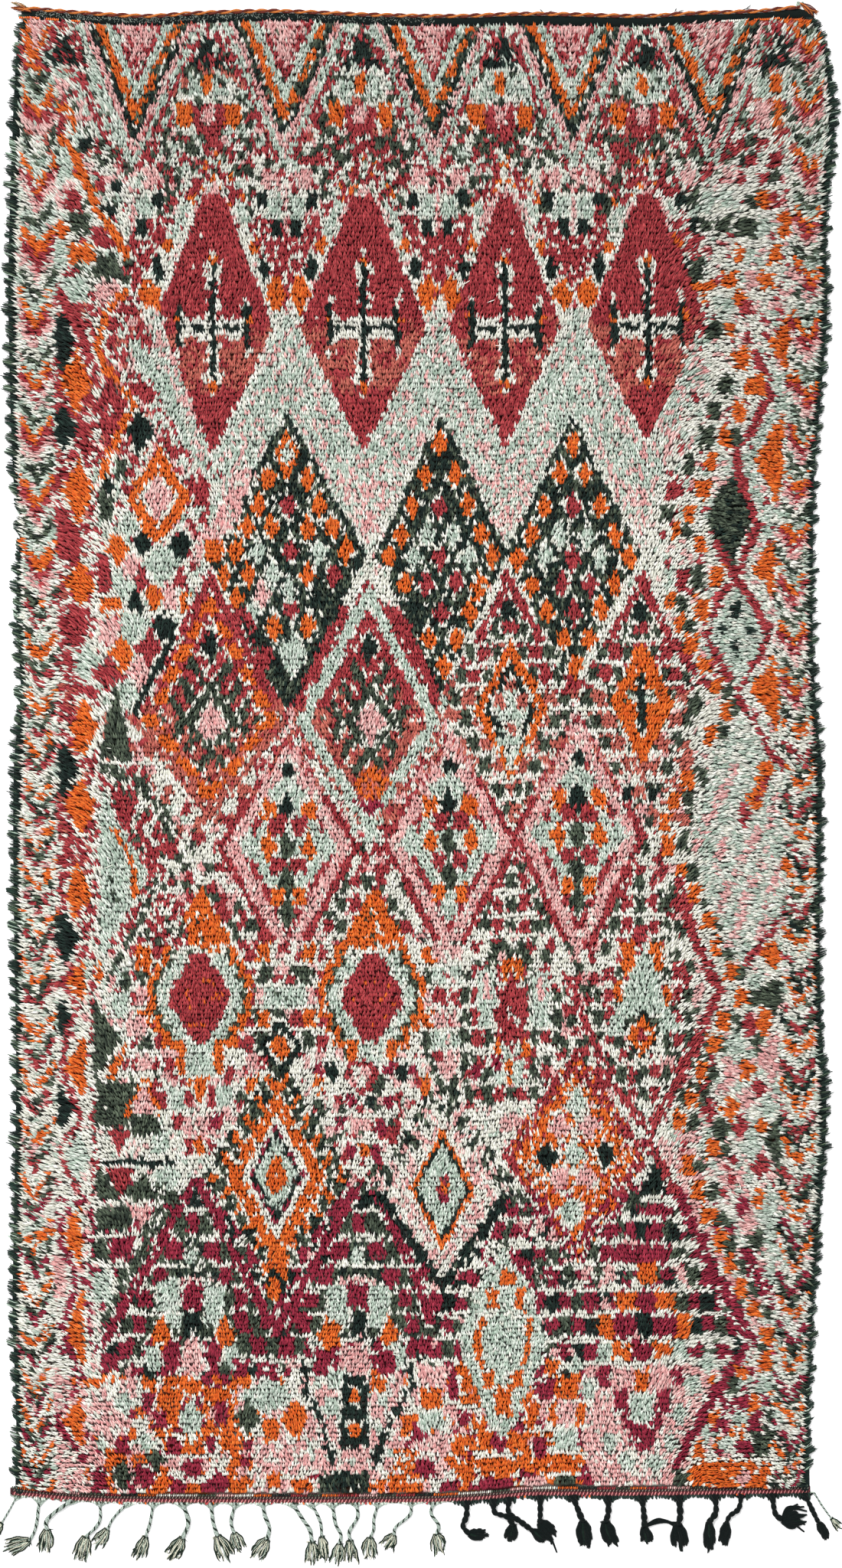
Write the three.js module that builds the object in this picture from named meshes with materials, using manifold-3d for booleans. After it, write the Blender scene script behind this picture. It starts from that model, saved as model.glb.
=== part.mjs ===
import * as THREE from 'three';
import { mergeVertices } from 'three/addons/utils/BufferGeometryUtils.js';
import Module from 'manifold-3d';

// A hand-knotted Moroccan pile rug lying flat, in millimetres, +Z up, pile side up. X runs across the rug and Y along
// it: the flat-woven dark end is at +Y, the tasselled end at -Y. The origin is on the floor under the rug's middle.

const GAP = 0.4; // clear space between neighbouring pieces

// The pile, a slab of leaning tuft clusters with a flat underside
const PILE_TIP = 21; // tips of the clusters above the floor
const PILE_DIP = 11.5; // dips between clusters
const CLUSTERS_ACROSS = 24;
const CLUSTERS_ALONG = 30;
const CLUSTER_LEAN = 13; // how far a tip leans off its cluster's middle
const SIDE_LEAN_FROM = 520; // distance from the middle at which the pile begins to fall sideways
const SIDE_LEAN_FULL = 840;
const RIM_TOP = 13.5; // locks along the rim
const RIM_LEDGE = 8; // underside of a lock, above the band or selvedge that it hangs over
const RIM_REACH = 8;

// The selvedges, bundles of dark yarn wrapped over the edge warps
const SELVEDGE_TOP = 11.5;
const SELVEDGE_INNER_TOP = 6.5;
const SELVEDGE_SPIKE = 11; // how far a wrapped bundle's point stands out

// The flat-woven top end and the twined cord along it
const TOP_BAND_THICK = 4.5;
const TOP_BAND_FROM = -888;
const TOP_BAND_TO = 873;
const TOP_CORD_WIDE = 8;
const TOP_CORD_THICK = 7;
const TOP_CORD_FROM = -880;
const TOP_CORD_TO = 852;

// The twined bottom end and the strips that its warp ends are looped into
const BOTTOM_BAND_ABOVE = 11; // the band reaches this far above and below its line
const BOTTOM_BAND_BELOW = 5;
const BOTTOM_BAND_THICK = 6.5;
const BOTTOM_BAND_FROM = -915;
const BOTTOM_BAND_TO = 867;
const STRIP_WIDE = 7;
const STRIP_THICK = 5;
const STRIP_SCALLOP = 2;

// Braided warp ends and their tassels
const CORD_THICK = 7;
const CORD_STEPS = 5;
const LOCK_THICK = 6.5;
const LOCK_WIDE = 9; // a tassel has about one lock for each such width
const LOCK_FUSE = 4; // how far a lock's root is sunk into its cord

// Side edges from the top end to the bottom end: outer is the silhouette, inner is where the pile starts
const LEFT_SIDE = [
  { along: 1695, outer: -895, inner: -870 },
  { along: 1640, outer: -908, inner: -880 },
  { along: 1400, outer: -920, inner: -888 },
  { along: 1160, outer: -927, inner: -894 },
  { along: 1030, outer: -927, inner: -894 },
  { along: 660, outer: -915, inner: -887 },
  { along: 610, outer: -901, inner: -883 },
  { along: 380, outer: -910, inner: -880 },
  { along: 210, outer: -900, inner: -875 },
  { along: 40, outer: -915, inner: -880 },
  { along: -300, outer: -915, inner: -884 },
  { along: -640, outer: -910, inner: -882 },
  { along: -980, outer: -915, inner: -884 },
  { along: -1180, outer: -918, inner: -887 },
  { along: -1400, outer: -910, inner: -884 },
  { along: -1580, outer: -912, inner: -885 },
];
const RIGHT_SIDE = [
  { along: 1697, outer: 880, inner: 856 },
  { along: 1650, outer: 905, inner: 878 },
  { along: 1570, outer: 923, inner: 893 },
  { along: 1470, outer: 930, inner: 899 },
  { along: 1230, outer: 910, inner: 882 },
  { along: 1060, outer: 913, inner: 882 },
  { along: 890, outer: 901, inner: 872 },
  { along: 690, outer: 884, inner: 857 },
  { along: 550, outer: 881, inner: 853 },
  { along: 300, outer: 881, inner: 853 },
  { along: 125, outer: 892, inner: 862 },
  { along: 40, outer: 901, inner: 868 },
  { along: -300, outer: 896, inner: 868 },
  { along: -520, outer: 899, inner: 870 },
  { along: -725, outer: 911, inner: 878 },
  { along: -980, outer: 894, inner: 866 },
  { along: -1150, outer: 882, inner: 855 },
  { along: -1285, outer: 876, inner: 849 },
  { along: -1400, outer: 872, inner: 845 },
  { along: -1575, outer: 874, inner: 846 },
];

// The top end: edge is the band's upper edge, band its width
const TOP_END = [
  { across: -890, edge: 1712, band: 18 },
  { across: -800, edge: 1706, band: 20 },
  { across: -700, edge: 1702, band: 20 },
  { across: -520, edge: 1710, band: 20 },
  { across: 0, edge: 1706, band: 19 },
  { across: 240, edge: 1709, band: 19 },
  { across: 700, edge: 1712, band: 17 },
  { across: 800, edge: 1716, band: 20 },
  { across: 875, edge: 1723, band: 25 },
];

// The bottom end: line runs along the middle of the madder band
const BOTTOM_END = [
  { across: -915, line: -1574 },
  { across: -780, line: -1586 },
  { across: -650, line: -1591 },
  { across: 0, line: -1591 },
  { across: 150, line: -1584 },
  { across: 240, line: -1576 },
  { across: 470, line: -1576 },
  { across: 870, line: -1570 },
];

// Each braided cord: where it leaves the strip, the points it bends through, where its tassel starts and ends, the
// cord's width and the tassel's. strays are tips of single locks that stand away from the tassel.
const GREY_CORDS = [
  { root: -898, bends: [[-914, -1612]], neck: [-932, -1642], tip: [-951, -1668], wide: 5, spread: 18 },
  { root: -848, bends: [[-856, -1650]], neck: [-870, -1682], tip: [-932, -1702], wide: 8, spread: 32 },
  { root: -777, bends: [[-816, -1620], [-833, -1639]], neck: [-831, -1656], tip: [-836, -1712], wide: 10, spread: 30 },
  { root: -714, bends: [[-713, -1632], [-724, -1653]], neck: [-745, -1672], tip: [-760, -1734], wide: 8, spread: 30 },
  { root: -651, bends: [[-682, -1629]], neck: [-697, -1656], tip: [-728, -1703], wide: 7, spread: 28 },
  { root: -595, bends: [[-602, -1640]], neck: [-612, -1672], tip: [-634, -1727], wide: 8, spread: 26 },
  { root: -530, bends: [[-517, -1640]], neck: [-530, -1675], tip: [-564, -1731], wide: 11, spread: 30 },
  { root: -467, bends: [[-462, -1640]], neck: [-453, -1670], tip: [-426, -1734], wide: 10, spread: 34 },
  { root: -413, bends: [[-422, -1639]], neck: [-416, -1664], tip: [-398, -1710], wide: 9, spread: 28 },
  { root: -352, bends: [[-347, -1626], [-337, -1652]], neck: [-342, -1678], tip: [-376, -1727], wide: 10, spread: 32 },
  { root: -286, bends: [[-264, -1632], [-247, -1658]], neck: [-243, -1684], tip: [-240, -1739], wide: 10, spread: 28 },
  { root: -243, bends: [[-224, -1640]], neck: [-221, -1672], tip: [-212, -1734], wide: 8, spread: 22 },
  { root: -197, bends: [[-190, -1644], [-178, -1668]], neck: [-181, -1688], tip: [-190, -1739], wide: 9, spread: 28 },
  { root: -144, bends: [[-141, -1629], [-159, -1660]], neck: [-158, -1680], tip: [-153, -1737], wide: 9, spread: 26 },
  { root: -95, bends: [[-105, -1634], [-105, -1656]], neck: [-113, -1674], tip: [-116, -1726], wide: 8, spread: 28 },
  { root: -22, bends: [[-25, -1624], [-56, -1651]], neck: [-60, -1668], tip: [-82, -1703], wide: 8, spread: 30 },
  { root: 29, bends: [[22, -1620], [39, -1647]], neck: [35, -1666], tip: [44, -1719], wide: 9, spread: 30 },
];
const BLACK_CORDS = [
  { root: 102, bends: [[101, -1626], [93, -1648]], neck: [106, -1666], tip: [152, -1672], wide: 11, spread: 26 },
  { root: 161, bends: [[164, -1618], [191, -1628]], neck: [205, -1646], tip: [196, -1688], wide: 11, spread: 28 },
  { root: 197, bends: [[195, -1617], [223, -1640]], neck: [250, -1660], tip: [282, -1682], wide: 11, spread: 26 },
  {
    root: 265,
    bends: [[265, -1617]],
    neck: [264, -1640],
    tip: [298, -1677],
    wide: 11,
    spread: 34,
    strays: [[302, -1708]],
  },
  { root: 337, bends: [[352, -1620]], neck: [360, -1638], tip: [368, -1700], wide: 12, spread: 36 },
  { root: 416, bends: [[416, -1620]], neck: [409, -1638], tip: [427, -1698], wide: 12, spread: 36 },
  {
    root: 491,
    bends: [[496, -1630]],
    neck: [496, -1650],
    tip: [505, -1691],
    wide: 12,
    spread: 26,
    strays: [[557, -1648]],
  },
  { root: 573, bends: [[576, -1624]], neck: [571, -1644], tip: [578, -1706], wide: 13, spread: 36 },
  { root: 653, bends: [[655, -1617]], neck: [640, -1640], tip: [644, -1710], wide: 12, spread: 26 },
  { root: 712, bends: [[706, -1610], [686, -1626]], neck: [679, -1642], tip: [670, -1698], wide: 10, spread: 26 },
  {
    root: 780,
    bends: [[787, -1620]],
    neck: [802, -1634],
    tip: [858, -1637],
    wide: 11,
    spread: 38,
    strays: [[852, -1662]],
  },
  { root: 852, bends: [[874, -1622]], neck: [884, -1642], tip: [904, -1678], wide: 10, spread: 20 },
];
const CORNER_CORD = {
  from: [875, -1577],
  bends: [[893, -1606]],
  neck: [912, -1632],
  tip: [936, -1658],
  wide: 5,
  spread: 14,
};

// Yarn that frays out of the top cord's two ends: from the cord to the tip of each lock
const TOP_FRAYS = [
  { from: [-868, 1719], tip: [-912, 1726], wide: 12 },
  { from: [-868, 1718], tip: [-904, 1739], wide: 9 },
  { from: [-866, 1717], tip: [-898, 1721], wide: 8 },
  { from: [840, 1726], tip: [832, 1739], wide: 8 },
  { from: [842, 1727], tip: [862, 1739], wide: 8 },
  { from: [842, 1729], tip: [884, 1732], wide: 9 },
];

const COLORS = {
  pile: 0xc9948a,
  selvedge: 0x1d2d2a,
  band: 0x182624,
  cord: 0xb5532c,
  madder: 0x96454a,
  grey: 0xa3aca0,
  black: 0x16221f,
};

const wasm = await Module();
wasm.setup();

// The same uneven numbers on every build
function unevenness(seed) {
  let state = seed;
  return (low, high) => {
    state = (state * 16807) % 2147483647;
    return low + ((high - low) * state) / 2147483647;
  };
}

const mix = THREE.MathUtils.lerp;

// Reads a column of a table as a smooth line through its rows, which run in order of the column `by`
function line(rows, by, column) {
  const sorted = [...rows].sort((a, b) => a[by] - b[by]);
  const slope = (i) => {
    const before = sorted[Math.max(i - 1, 0)];
    const after = sorted[Math.min(i + 1, sorted.length - 1)];
    return (after[column] - before[column]) / (after[by] - before[by]);
  };
  return (place) => {
    const at = THREE.MathUtils.clamp(place, sorted[0][by], sorted.at(-1)[by]);
    const i = Math.max(0, sorted.findLastIndex((row, k) => row[by] <= at && k < sorted.length - 1));
    const span = sorted[i + 1][by] - sorted[i][by];
    const t = (at - sorted[i][by]) / span;
    const rise = t * t * (3 - 2 * t);
    const lead = t * (1 - t) * (1 - t) * span * slope(i);
    const trail = t * t * (t - 1) * span * slope(i + 1);
    return mix(sorted[i][column], sorted[i + 1][column], rise) + lead + trail;
  };
}

const side = {
  left: { outer: line(LEFT_SIDE, 'along', 'outer'), inner: line(LEFT_SIDE, 'along', 'inner'), out: -1 },
  right: { outer: line(RIGHT_SIDE, 'along', 'outer'), inner: line(RIGHT_SIDE, 'along', 'inner'), out: 1 },
};
const topEdge = line(TOP_END, 'across', 'edge');
const topBandWidth = line(TOP_END, 'across', 'band');
const bottomLine = line(BOTTOM_END, 'across', 'line');

// The woven body lies between the two ends: rise runs from 0 at the bottom to 1 at the top
const bodyTop = (x) => topEdge(x) - topBandWidth(x) - GAP;
const bodyBottom = (x) => bottomLine(x) + BOTTOM_BAND_ABOVE + GAP;
const bodyAlong = (x, rise) => mix(bodyBottom(x), bodyTop(x), rise);

const COLUMNS = 2 * CLUSTERS_ACROSS;
const ROWS = 2 * CLUSTERS_ALONG;

function sideAcross(name, which, rise) {
  const edge = side[name];
  const nearby = edge.outer(mix(BOTTOM_END[0].line, TOP_END[0].edge, rise));
  return edge[which](bodyAlong(nearby, rise));
}

// A point of the pile's base outline or grid, column 0 at the left selvedge and row 0 at the bottom end
function gridPoint(column, row) {
  const rise = row / ROWS;
  const left = sideAcross('left', 'inner', rise) + GAP;
  const right = sideAcross('right', 'inner', rise) - GAP;
  const x = mix(left, right, column / COLUMNS);
  return new THREE.Vector2(x, bodyAlong(x, rise));
}

// One closed body from points and triangles, turned so that its faces point out
function closedBody(points, triangles) {
  let volume = 0;
  for (const [a, b, c] of triangles) {
    volume += points[a].dot(points[b].clone().cross(points[c]));
  }
  const outward = volume > 0 ? triangles : triangles.map(([a, b, c]) => [a, c, b]);
  const geometry = new THREE.BufferGeometry().setFromPoints(points);
  geometry.setIndex(outward.flat());
  geometry.computeVertexNormals();
  return geometry;
}

// A closed body lofted through rings of points, with a fan over each end
function loft(rings) {
  const sides = rings[0].length;
  const triangles = [];
  for (let r = 0; r + 1 < rings.length; r++) {
    for (let s = 0; s < sides; s++) {
      const next = (s + 1) % sides;
      const [a, b] = [r * sides + s, r * sides + next];
      triangles.push([a, b, b + sides], [a, b + sides, a + sides]);
    }
  }
  const last = (rings.length - 1) * sides;
  for (let s = 1; s + 1 < sides; s++) {
    triangles.push([0, s + 1, s], [last, last + s, last + s + 1]);
  }
  return closedBody(rings.flat(), triangles);
}

// Joins closed bodies that run into each other into one
function fuse(geometries) {
  const solids = geometries.map((geometry) => {
    const bare = geometry.clone();
    bare.deleteAttribute('normal');
    const merged = mergeVertices(bare);
    const mesh = new wasm.Mesh({
      numProp: 3,
      vertProperties: new Float32Array(merged.attributes.position.array),
      triVerts: new Uint32Array(merged.index.array),
    });
    return new wasm.Manifold(mesh);
  });
  const joined = solids.reduce((sum, solid) => sum.add(solid)).getMesh();
  const geometry = new THREE.BufferGeometry();
  geometry.setAttribute('position', new THREE.BufferAttribute(joined.vertProperties, 3));
  geometry.setIndex(new THREE.BufferAttribute(joined.triVerts, 1));
  geometry.computeVertexNormals();
  return geometry;
}

function piece(name, geometry, color, roughness = 0.95) {
  const mesh = new THREE.Mesh(geometry, new THREE.MeshStandardMaterial({ color, roughness, metalness: 0 }));
  mesh.name = name;
  return mesh;
}

// How much the pile falls to the side, from -1 at the left selvedge to 1 at the right
function sidewaysFall(x) {
  return Math.sign(x) * THREE.MathUtils.smoothstep(Math.abs(x), SIDE_LEAN_FROM, SIDE_LEAN_FULL);
}

// The pile: every second grid point both ways is the tip of a leaning cluster, the others lie in the dips around it.
// Rim points stand out in turn as locks over the bands and selvedges.
function pileField() {
  const uneven = unevenness(7);
  const points = [];
  const triangles = [];
  const topIndex = (column, row) => row * (COLUMNS + 1) + column;
  const rim = [];
  for (let column = 0; column < COLUMNS; column++) rim.push([column, 0]);
  for (let row = 0; row < ROWS; row++) rim.push([COLUMNS, row]);
  for (let column = COLUMNS; column > 0; column--) rim.push([column, ROWS]);
  for (let row = ROWS; row > 0; row--) rim.push([0, row]);

  for (let row = 0; row <= ROWS; row++) {
    for (let column = 0; column <= COLUMNS; column++) {
      const spot = gridPoint(column, row);
      const cell = { x: gridPoint(1, row).x - gridPoint(0, row).x, y: gridPoint(0, 1).y - gridPoint(0, 0).y };
      const outX = column === 0 ? -1 : column === COLUMNS ? 1 : 0;
      const outY = row === 0 ? -1 : row === ROWS ? 1 : 0;
      if (outX !== 0 || outY !== 0) {
        const isLock = (column + row) % 2 === 1;
        const reach = isLock ? RIM_REACH * uneven(0.6, 1) : 0;
        const height = isLock ? RIM_TOP : RIM_TOP + uneven(-1.5, 0.5);
        points.push(new THREE.Vector3(spot.x + outX * reach, spot.y + outY * reach, height));
        continue;
      }
      const isTip = column % 2 === 1 && row % 2 === 1;
      const stagger = (Math.floor(row / 2) % 2 === 0 ? 0.22 : -0.22) * cell.x;
      if (isTip) {
        const fall = sidewaysFall(spot.x);
        const lean = CLUSTER_LEAN * uneven(0.6, 1.3);
        const x = spot.x + stagger + lean * fall + cell.x * uneven(-0.2, 0.2);
        const y = spot.y + lean * Math.sqrt(1 - 0.8 * fall * fall) + cell.y * uneven(-0.2, 0.2);
        points.push(new THREE.Vector3(x, y, PILE_TIP * uneven(0.9, 1)));
      } else {
        const dip = column % 2 === 0 && row % 2 === 0 ? PILE_DIP : PILE_DIP + uneven(0, 2.5);
        const x = spot.x + stagger + cell.x * uneven(-0.22, 0.22);
        const y = spot.y + cell.y * uneven(-0.22, 0.22);
        points.push(new THREE.Vector3(x, y, dip));
      }
    }
  }
  for (let row = 0; row < ROWS; row++) {
    for (let column = 0; column < COLUMNS; column++) {
      const corners = [
        topIndex(column, row),
        topIndex(column + 1, row),
        topIndex(column + 1, row + 1),
        topIndex(column, row + 1),
      ];
      const [a, b, c, d] = corners;
      // the fold runs from the cluster's tip to the deepest corner
      if ((column + row) % 2 === 0) triangles.push([a, b, c], [a, c, d]);
      else triangles.push([a, b, d], [b, c, d]);
    }
  }

  const ledgeStart = points.length;
  for (const [column, row] of rim) {
    const spot = gridPoint(column, row);
    points.push(new THREE.Vector3(spot.x, spot.y, RIM_LEDGE));
  }
  const floorStart = points.length;
  const floorOutline = rim.map(([column, row]) => gridPoint(column, row));
  for (const spot of floorOutline) points.push(new THREE.Vector3(spot.x, spot.y, 0));
  rim.forEach(([column, row], i) => {
    const next = (i + 1) % rim.length;
    const [top, topNext] = [topIndex(column, row), topIndex(...rim[next])];
    const [ledge, ledgeNext] = [ledgeStart + i, ledgeStart + next];
    const [floor, floorNext] = [floorStart + i, floorStart + next];
    triangles.push([ledge, topNext, top], [ledge, ledgeNext, topNext]);
    triangles.push([floor, ledgeNext, ledge], [floor, floorNext, ledgeNext]);
  });
  for (const [a, b, c] of THREE.ShapeUtils.triangulateShape(floorOutline, [])) {
    triangles.push([floorStart + a, floorStart + c, floorStart + b]);
  }
  return closedBody(points, triangles);
}

// A selvedge: a low roll whose wrapped bundles end in points along the outer edge, one for each row of the pile
function selvedge(name, seed) {
  const uneven = unevenness(seed);
  const { out } = side[name];
  const innerAt = (row) => {
    const column = name === 'left' ? 0 : COLUMNS;
    const spot = gridPoint(column, row);
    return new THREE.Vector2(spot.x + out * 2 * GAP, spot.y);
  };
  const ring = (rise, inner, spike, top) => {
    const outer = sideAcross(name, 'outer', rise) + out * (spike - 0.35 * SELVEDGE_SPIKE);
    const width = Math.abs(outer - inner.x);
    const at = (x, z) => new THREE.Vector3(x, bodyAlong(x, rise), z);
    return [
      at(outer - out * 3, 0),
      at(outer, mix(6, 3.5, spike / SELVEDGE_SPIKE)),
      at(outer - out * width * 0.42, top),
      new THREE.Vector3(inner.x, inner.y, SELVEDGE_INNER_TOP),
      new THREE.Vector3(inner.x, inner.y, 0),
    ];
  };
  const rings = [];
  for (let row = 0; row <= ROWS; row++) {
    rings.push(ring(row / ROWS, innerAt(row), 0, SELVEDGE_TOP - 2));
    if (row === ROWS) break;
    const inner = innerAt(row).add(innerAt(row + 1)).multiplyScalar(0.5);
    const spike = SELVEDGE_SPIKE * uneven(0.6, 1);
    rings.push(ring((row + uneven(0.35, 0.65)) / ROWS, inner, spike, SELVEDGE_TOP));
  }
  return loft(rings);
}

// Places across the rug at the grid's columns on one end, between two limits
function stations(row, from, to) {
  const places = [from];
  for (let column = 0; column <= COLUMNS; column++) {
    const { x } = gridPoint(column, row);
    if (x > from + 4 && x < to - 4) places.push(x);
  }
  places.push(to);
  return places;
}

function topBand() {
  const rings = stations(ROWS, TOP_BAND_FROM, TOP_BAND_TO).map((x) => {
    const upper = topEdge(x);
    const lower = upper - topBandWidth(x);
    return [
      new THREE.Vector3(x, lower, 0),
      new THREE.Vector3(x, upper, 0),
      new THREE.Vector3(x, upper, TOP_BAND_THICK),
      new THREE.Vector3(x, lower, TOP_BAND_THICK),
    ];
  });
  return loft(rings);
}

// The twined cord swells and thins along its length, and frays out at both ends
function topCord() {
  const rings = stations(ROWS, TOP_CORD_FROM, TOP_CORD_TO).map((x, i) => {
    const lower = topEdge(x) + GAP;
    const swell = i % 2 === 0 ? 1 : 0.84;
    const upper = lower + TOP_CORD_WIDE * swell;
    return [
      new THREE.Vector3(x, lower, 0),
      new THREE.Vector3(x, upper, 0),
      new THREE.Vector3(x, upper - 1.5, TOP_CORD_THICK * swell),
      new THREE.Vector3(x, lower, TOP_CORD_THICK * swell),
    ];
  });
  const frays = TOP_FRAYS.map(({ from, tip, wide }) => {
    const start = new THREE.Vector2(...from);
    const end = new THREE.Vector2(...tip);
    const middle = start.clone().lerp(end, 0.55);
    return lock([start, middle, end], wide);
  });
  return fuse([loft(rings), ...frays]);
}

function bottomBand() {
  const rings = stations(0, BOTTOM_BAND_FROM, BOTTOM_BAND_TO).map((x) => {
    const middle = bottomLine(x);
    const upper = middle + BOTTOM_BAND_ABOVE;
    const lower = middle - BOTTOM_BAND_BELOW;
    return [
      new THREE.Vector3(x, lower, 0),
      new THREE.Vector3(x, upper, 0),
      new THREE.Vector3(x, upper, BOTTOM_BAND_THICK * 0.75),
      new THREE.Vector3(x, middle, BOTTOM_BAND_THICK),
      new THREE.Vector3(x, lower, BOTTOM_BAND_THICK * 0.7),
    ];
  });
  return loft(rings);
}

// A strip of looped warp ends with a scalloped lower edge
function backingStrip(from, to) {
  const rings = stations(0, from, to).map((x, i) => {
    const upper = bottomLine(x) - BOTTOM_BAND_BELOW - GAP;
    const lower = upper - STRIP_WIDE - (i % 2) * STRIP_SCALLOP;
    return [
      new THREE.Vector3(x, lower, 0),
      new THREE.Vector3(x, upper, 0),
      new THREE.Vector3(x, upper, STRIP_THICK),
      new THREE.Vector3(x, lower + 2, STRIP_THICK),
    ];
  });
  return loft(rings);
}

// A sweep along a path on the floor: section gives the ring at each point from its place, sideways direction and
// fraction of the length
function sweep(path, section) {
  const rings = path.map((spot, i) => {
    const before = path[Math.max(i - 1, 0)];
    const after = path[Math.min(i + 1, path.length - 1)];
    const ahead = after.clone().sub(before).normalize();
    const sideways = new THREE.Vector2(-ahead.y, ahead.x);
    return section(i / (path.length - 1)).map(
      ([offset, height]) => new THREE.Vector3(spot.x + sideways.x * offset, spot.y + sideways.y * offset, height),
    );
  });
  return loft(rings);
}

// A lock of loose yarn: three-sided, flat on the floor, fullest near its middle and pointed at its tip
function lock(path, wide) {
  return sweep(path, (t) => {
    const fullness = t === 0 ? 0.75 : t === 1 ? 0.12 : 1;
    const height = LOCK_THICK * (t === 1 ? 0.25 : fullness);
    return [
      [-0.5 * wide * fullness, 0],
      [0.5 * wide * fullness, 0],
      [0.08 * wide * fullness, height],
    ];
  });
}

// A braided cord from its root to the neck of its tassel, four-sided
function braid(points, wide) {
  const curve = new THREE.SplineCurve(points);
  const path = curve.getPoints(CORD_STEPS);
  return sweep(path, (t) => {
    const fullness = 1 - 0.18 * Math.sin(Math.PI * t);
    const half = 0.5 * wide * fullness;
    return [
      [-half, 0],
      [half, 0],
      [0.6 * half, Math.min(CORD_THICK, wide)],
      [-0.6 * half, Math.min(CORD_THICK, wide)],
    ];
  });
}

// A tassel: locks that fan out of the neck and end unevenly, and its strays
function tassel(neck, tip, spread, strays, uneven) {
  const start = new THREE.Vector2(...neck);
  const ahead = new THREE.Vector2(...tip).sub(start);
  const long = ahead.length();
  ahead.normalize();
  const sideways = new THREE.Vector2(-ahead.y, ahead.x);
  const count = Math.max(3, Math.round(spread / LOCK_WIDE));
  const at = (forward, across) =>
    start.clone().addScaledVector(ahead, forward).addScaledVector(sideways, across);
  const locks = [];
  for (let k = 0; k < count; k++) {
    const share = k / (count - 1) - 0.5;
    const reach = long * (1 - 0.5 * share * share) * uneven(0.86, 1);
    const across = spread * share;
    const path = [at(-LOCK_FUSE, 0.12 * across), at(0.42 * reach, 0.86 * across), at(reach, across)];
    locks.push(lock(path, (1.1 * spread) / count));
  }
  for (const stray of strays) {
    const end = new THREE.Vector2(...stray);
    locks.push(lock([start, start.clone().lerp(end, 0.5), end], 7));
  }
  return locks;
}

function fringe(from, to, cords, seed) {
  const uneven = unevenness(seed);
  const bodies = [backingStrip(from, to)];
  for (const { root, bends, neck, tip, wide, spread, strays = [] } of cords) {
    const start = [root, bottomLine(root) - BOTTOM_BAND_BELOW - GAP - 0.5 * STRIP_WIDE];
    const points = [start, ...bends, neck].map(([x, y]) => new THREE.Vector2(x, y));
    bodies.push(braid(points, wide), ...tassel(neck, tip, spread, strays, uneven));
  }
  return fuse(bodies);
}

function cornerCord() {
  const { from, bends, neck, tip, wide, spread } = CORNER_CORD;
  const points = [from, ...bends, neck].map(([x, y]) => new THREE.Vector2(x, y));
  return fuse([braid(points, wide), ...tassel(neck, tip, spread, [], unevenness(31))]);
}

const rug = new THREE.Group();
rug.add(
  piece('pile_field', pileField(), COLORS.pile),
  piece('selvedge_left', selvedge('left', 11), COLORS.selvedge),
  piece('selvedge_right', selvedge('right', 13), COLORS.selvedge),
  piece('top_band', topBand(), COLORS.band),
  piece('top_cord', topCord(), COLORS.cord),
  piece('bottom_band', bottomBand(), COLORS.madder),
  piece('fringe_grey', fringe(-905, 68, GREY_CORDS, 17), COLORS.grey),
  piece('fringe_black', fringe(76, 864, BLACK_CORDS, 19), COLORS.black),
  piece('corner_cord', cornerCord(), COLORS.grey),
);

export default rug;
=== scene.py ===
import math

import bmesh
import bpy
import numpy as np
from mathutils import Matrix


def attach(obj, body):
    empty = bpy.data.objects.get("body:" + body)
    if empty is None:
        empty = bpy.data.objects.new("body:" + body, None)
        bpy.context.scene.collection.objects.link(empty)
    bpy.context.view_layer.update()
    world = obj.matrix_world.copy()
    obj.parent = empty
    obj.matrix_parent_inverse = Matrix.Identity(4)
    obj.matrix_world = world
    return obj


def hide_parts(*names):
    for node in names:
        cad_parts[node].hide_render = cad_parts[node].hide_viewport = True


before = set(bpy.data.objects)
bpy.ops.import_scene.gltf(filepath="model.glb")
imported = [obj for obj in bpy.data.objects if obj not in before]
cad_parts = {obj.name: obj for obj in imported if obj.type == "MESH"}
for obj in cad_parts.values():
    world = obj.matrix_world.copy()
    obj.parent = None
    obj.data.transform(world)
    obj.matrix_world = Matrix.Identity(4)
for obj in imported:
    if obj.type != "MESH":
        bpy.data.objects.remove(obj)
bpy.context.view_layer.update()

# A hand-knotted pile rug that lies flat, in metres: X across, Y along it to the flat-woven dark end, Z up

# The loom's chart counts its steps from the top left corner of the floor that the rug lies on
CHART_STEP = 0.0017
CHART_WIDE = 1100
CHART_LONG = 2048

# The view from above: lens and sensor in millimetres, and each lamp's place, size and power
LENS = 100
SENSOR = 36
CAMERA_ABOVE = 0.012
ROOM_LIGHT = 0.72
LAMPS = (
    ("sky_light", (-6.8, 12.0, 19.0), 9.0, 6300),
    ("fill_light", (4.4, -7.4, 11.0), 8.0, 600),
)
FLOOR_HALF = 12
FLOOR_BELOW = 0.0003
FLOOR_TONES = ((0.955,) * 3, (0.965,) * 3)

# Seeds of the random draws
SEED = 21
CHART_SEED = 5

# Knots, tufts and the cloth under them; angles in degrees
KNOTS_ACROSS = 252
KNOTS_ALONG = 342
KNOT_STRAYS = (0.0006, 0.0010)
PILE_STRIPS = 7
TUFT_LENGTH = 0.0210
TUFT_MIDDLE = 0.0110
TUFT_ROOT_DEPTH = 0.0006
STRAND_WIDE = 0.0059
STRAND_THICK = 0.0084
STRAND_ASIDE = 0.0016
TUFT_LIES_OVER = 51
TUFT_LEAST_OVER = 15
TUFT_MOST_OVER = 74
TUFT_HIGHEST = 0.0232
PAST_TOP_BAND = 0.011
PAST_SELVEDGE = 0.019
ROOT_SHADE = 0.42
CLOTH_THICK = 0.0035
CLOTH_STEPS = (72, 132)

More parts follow.
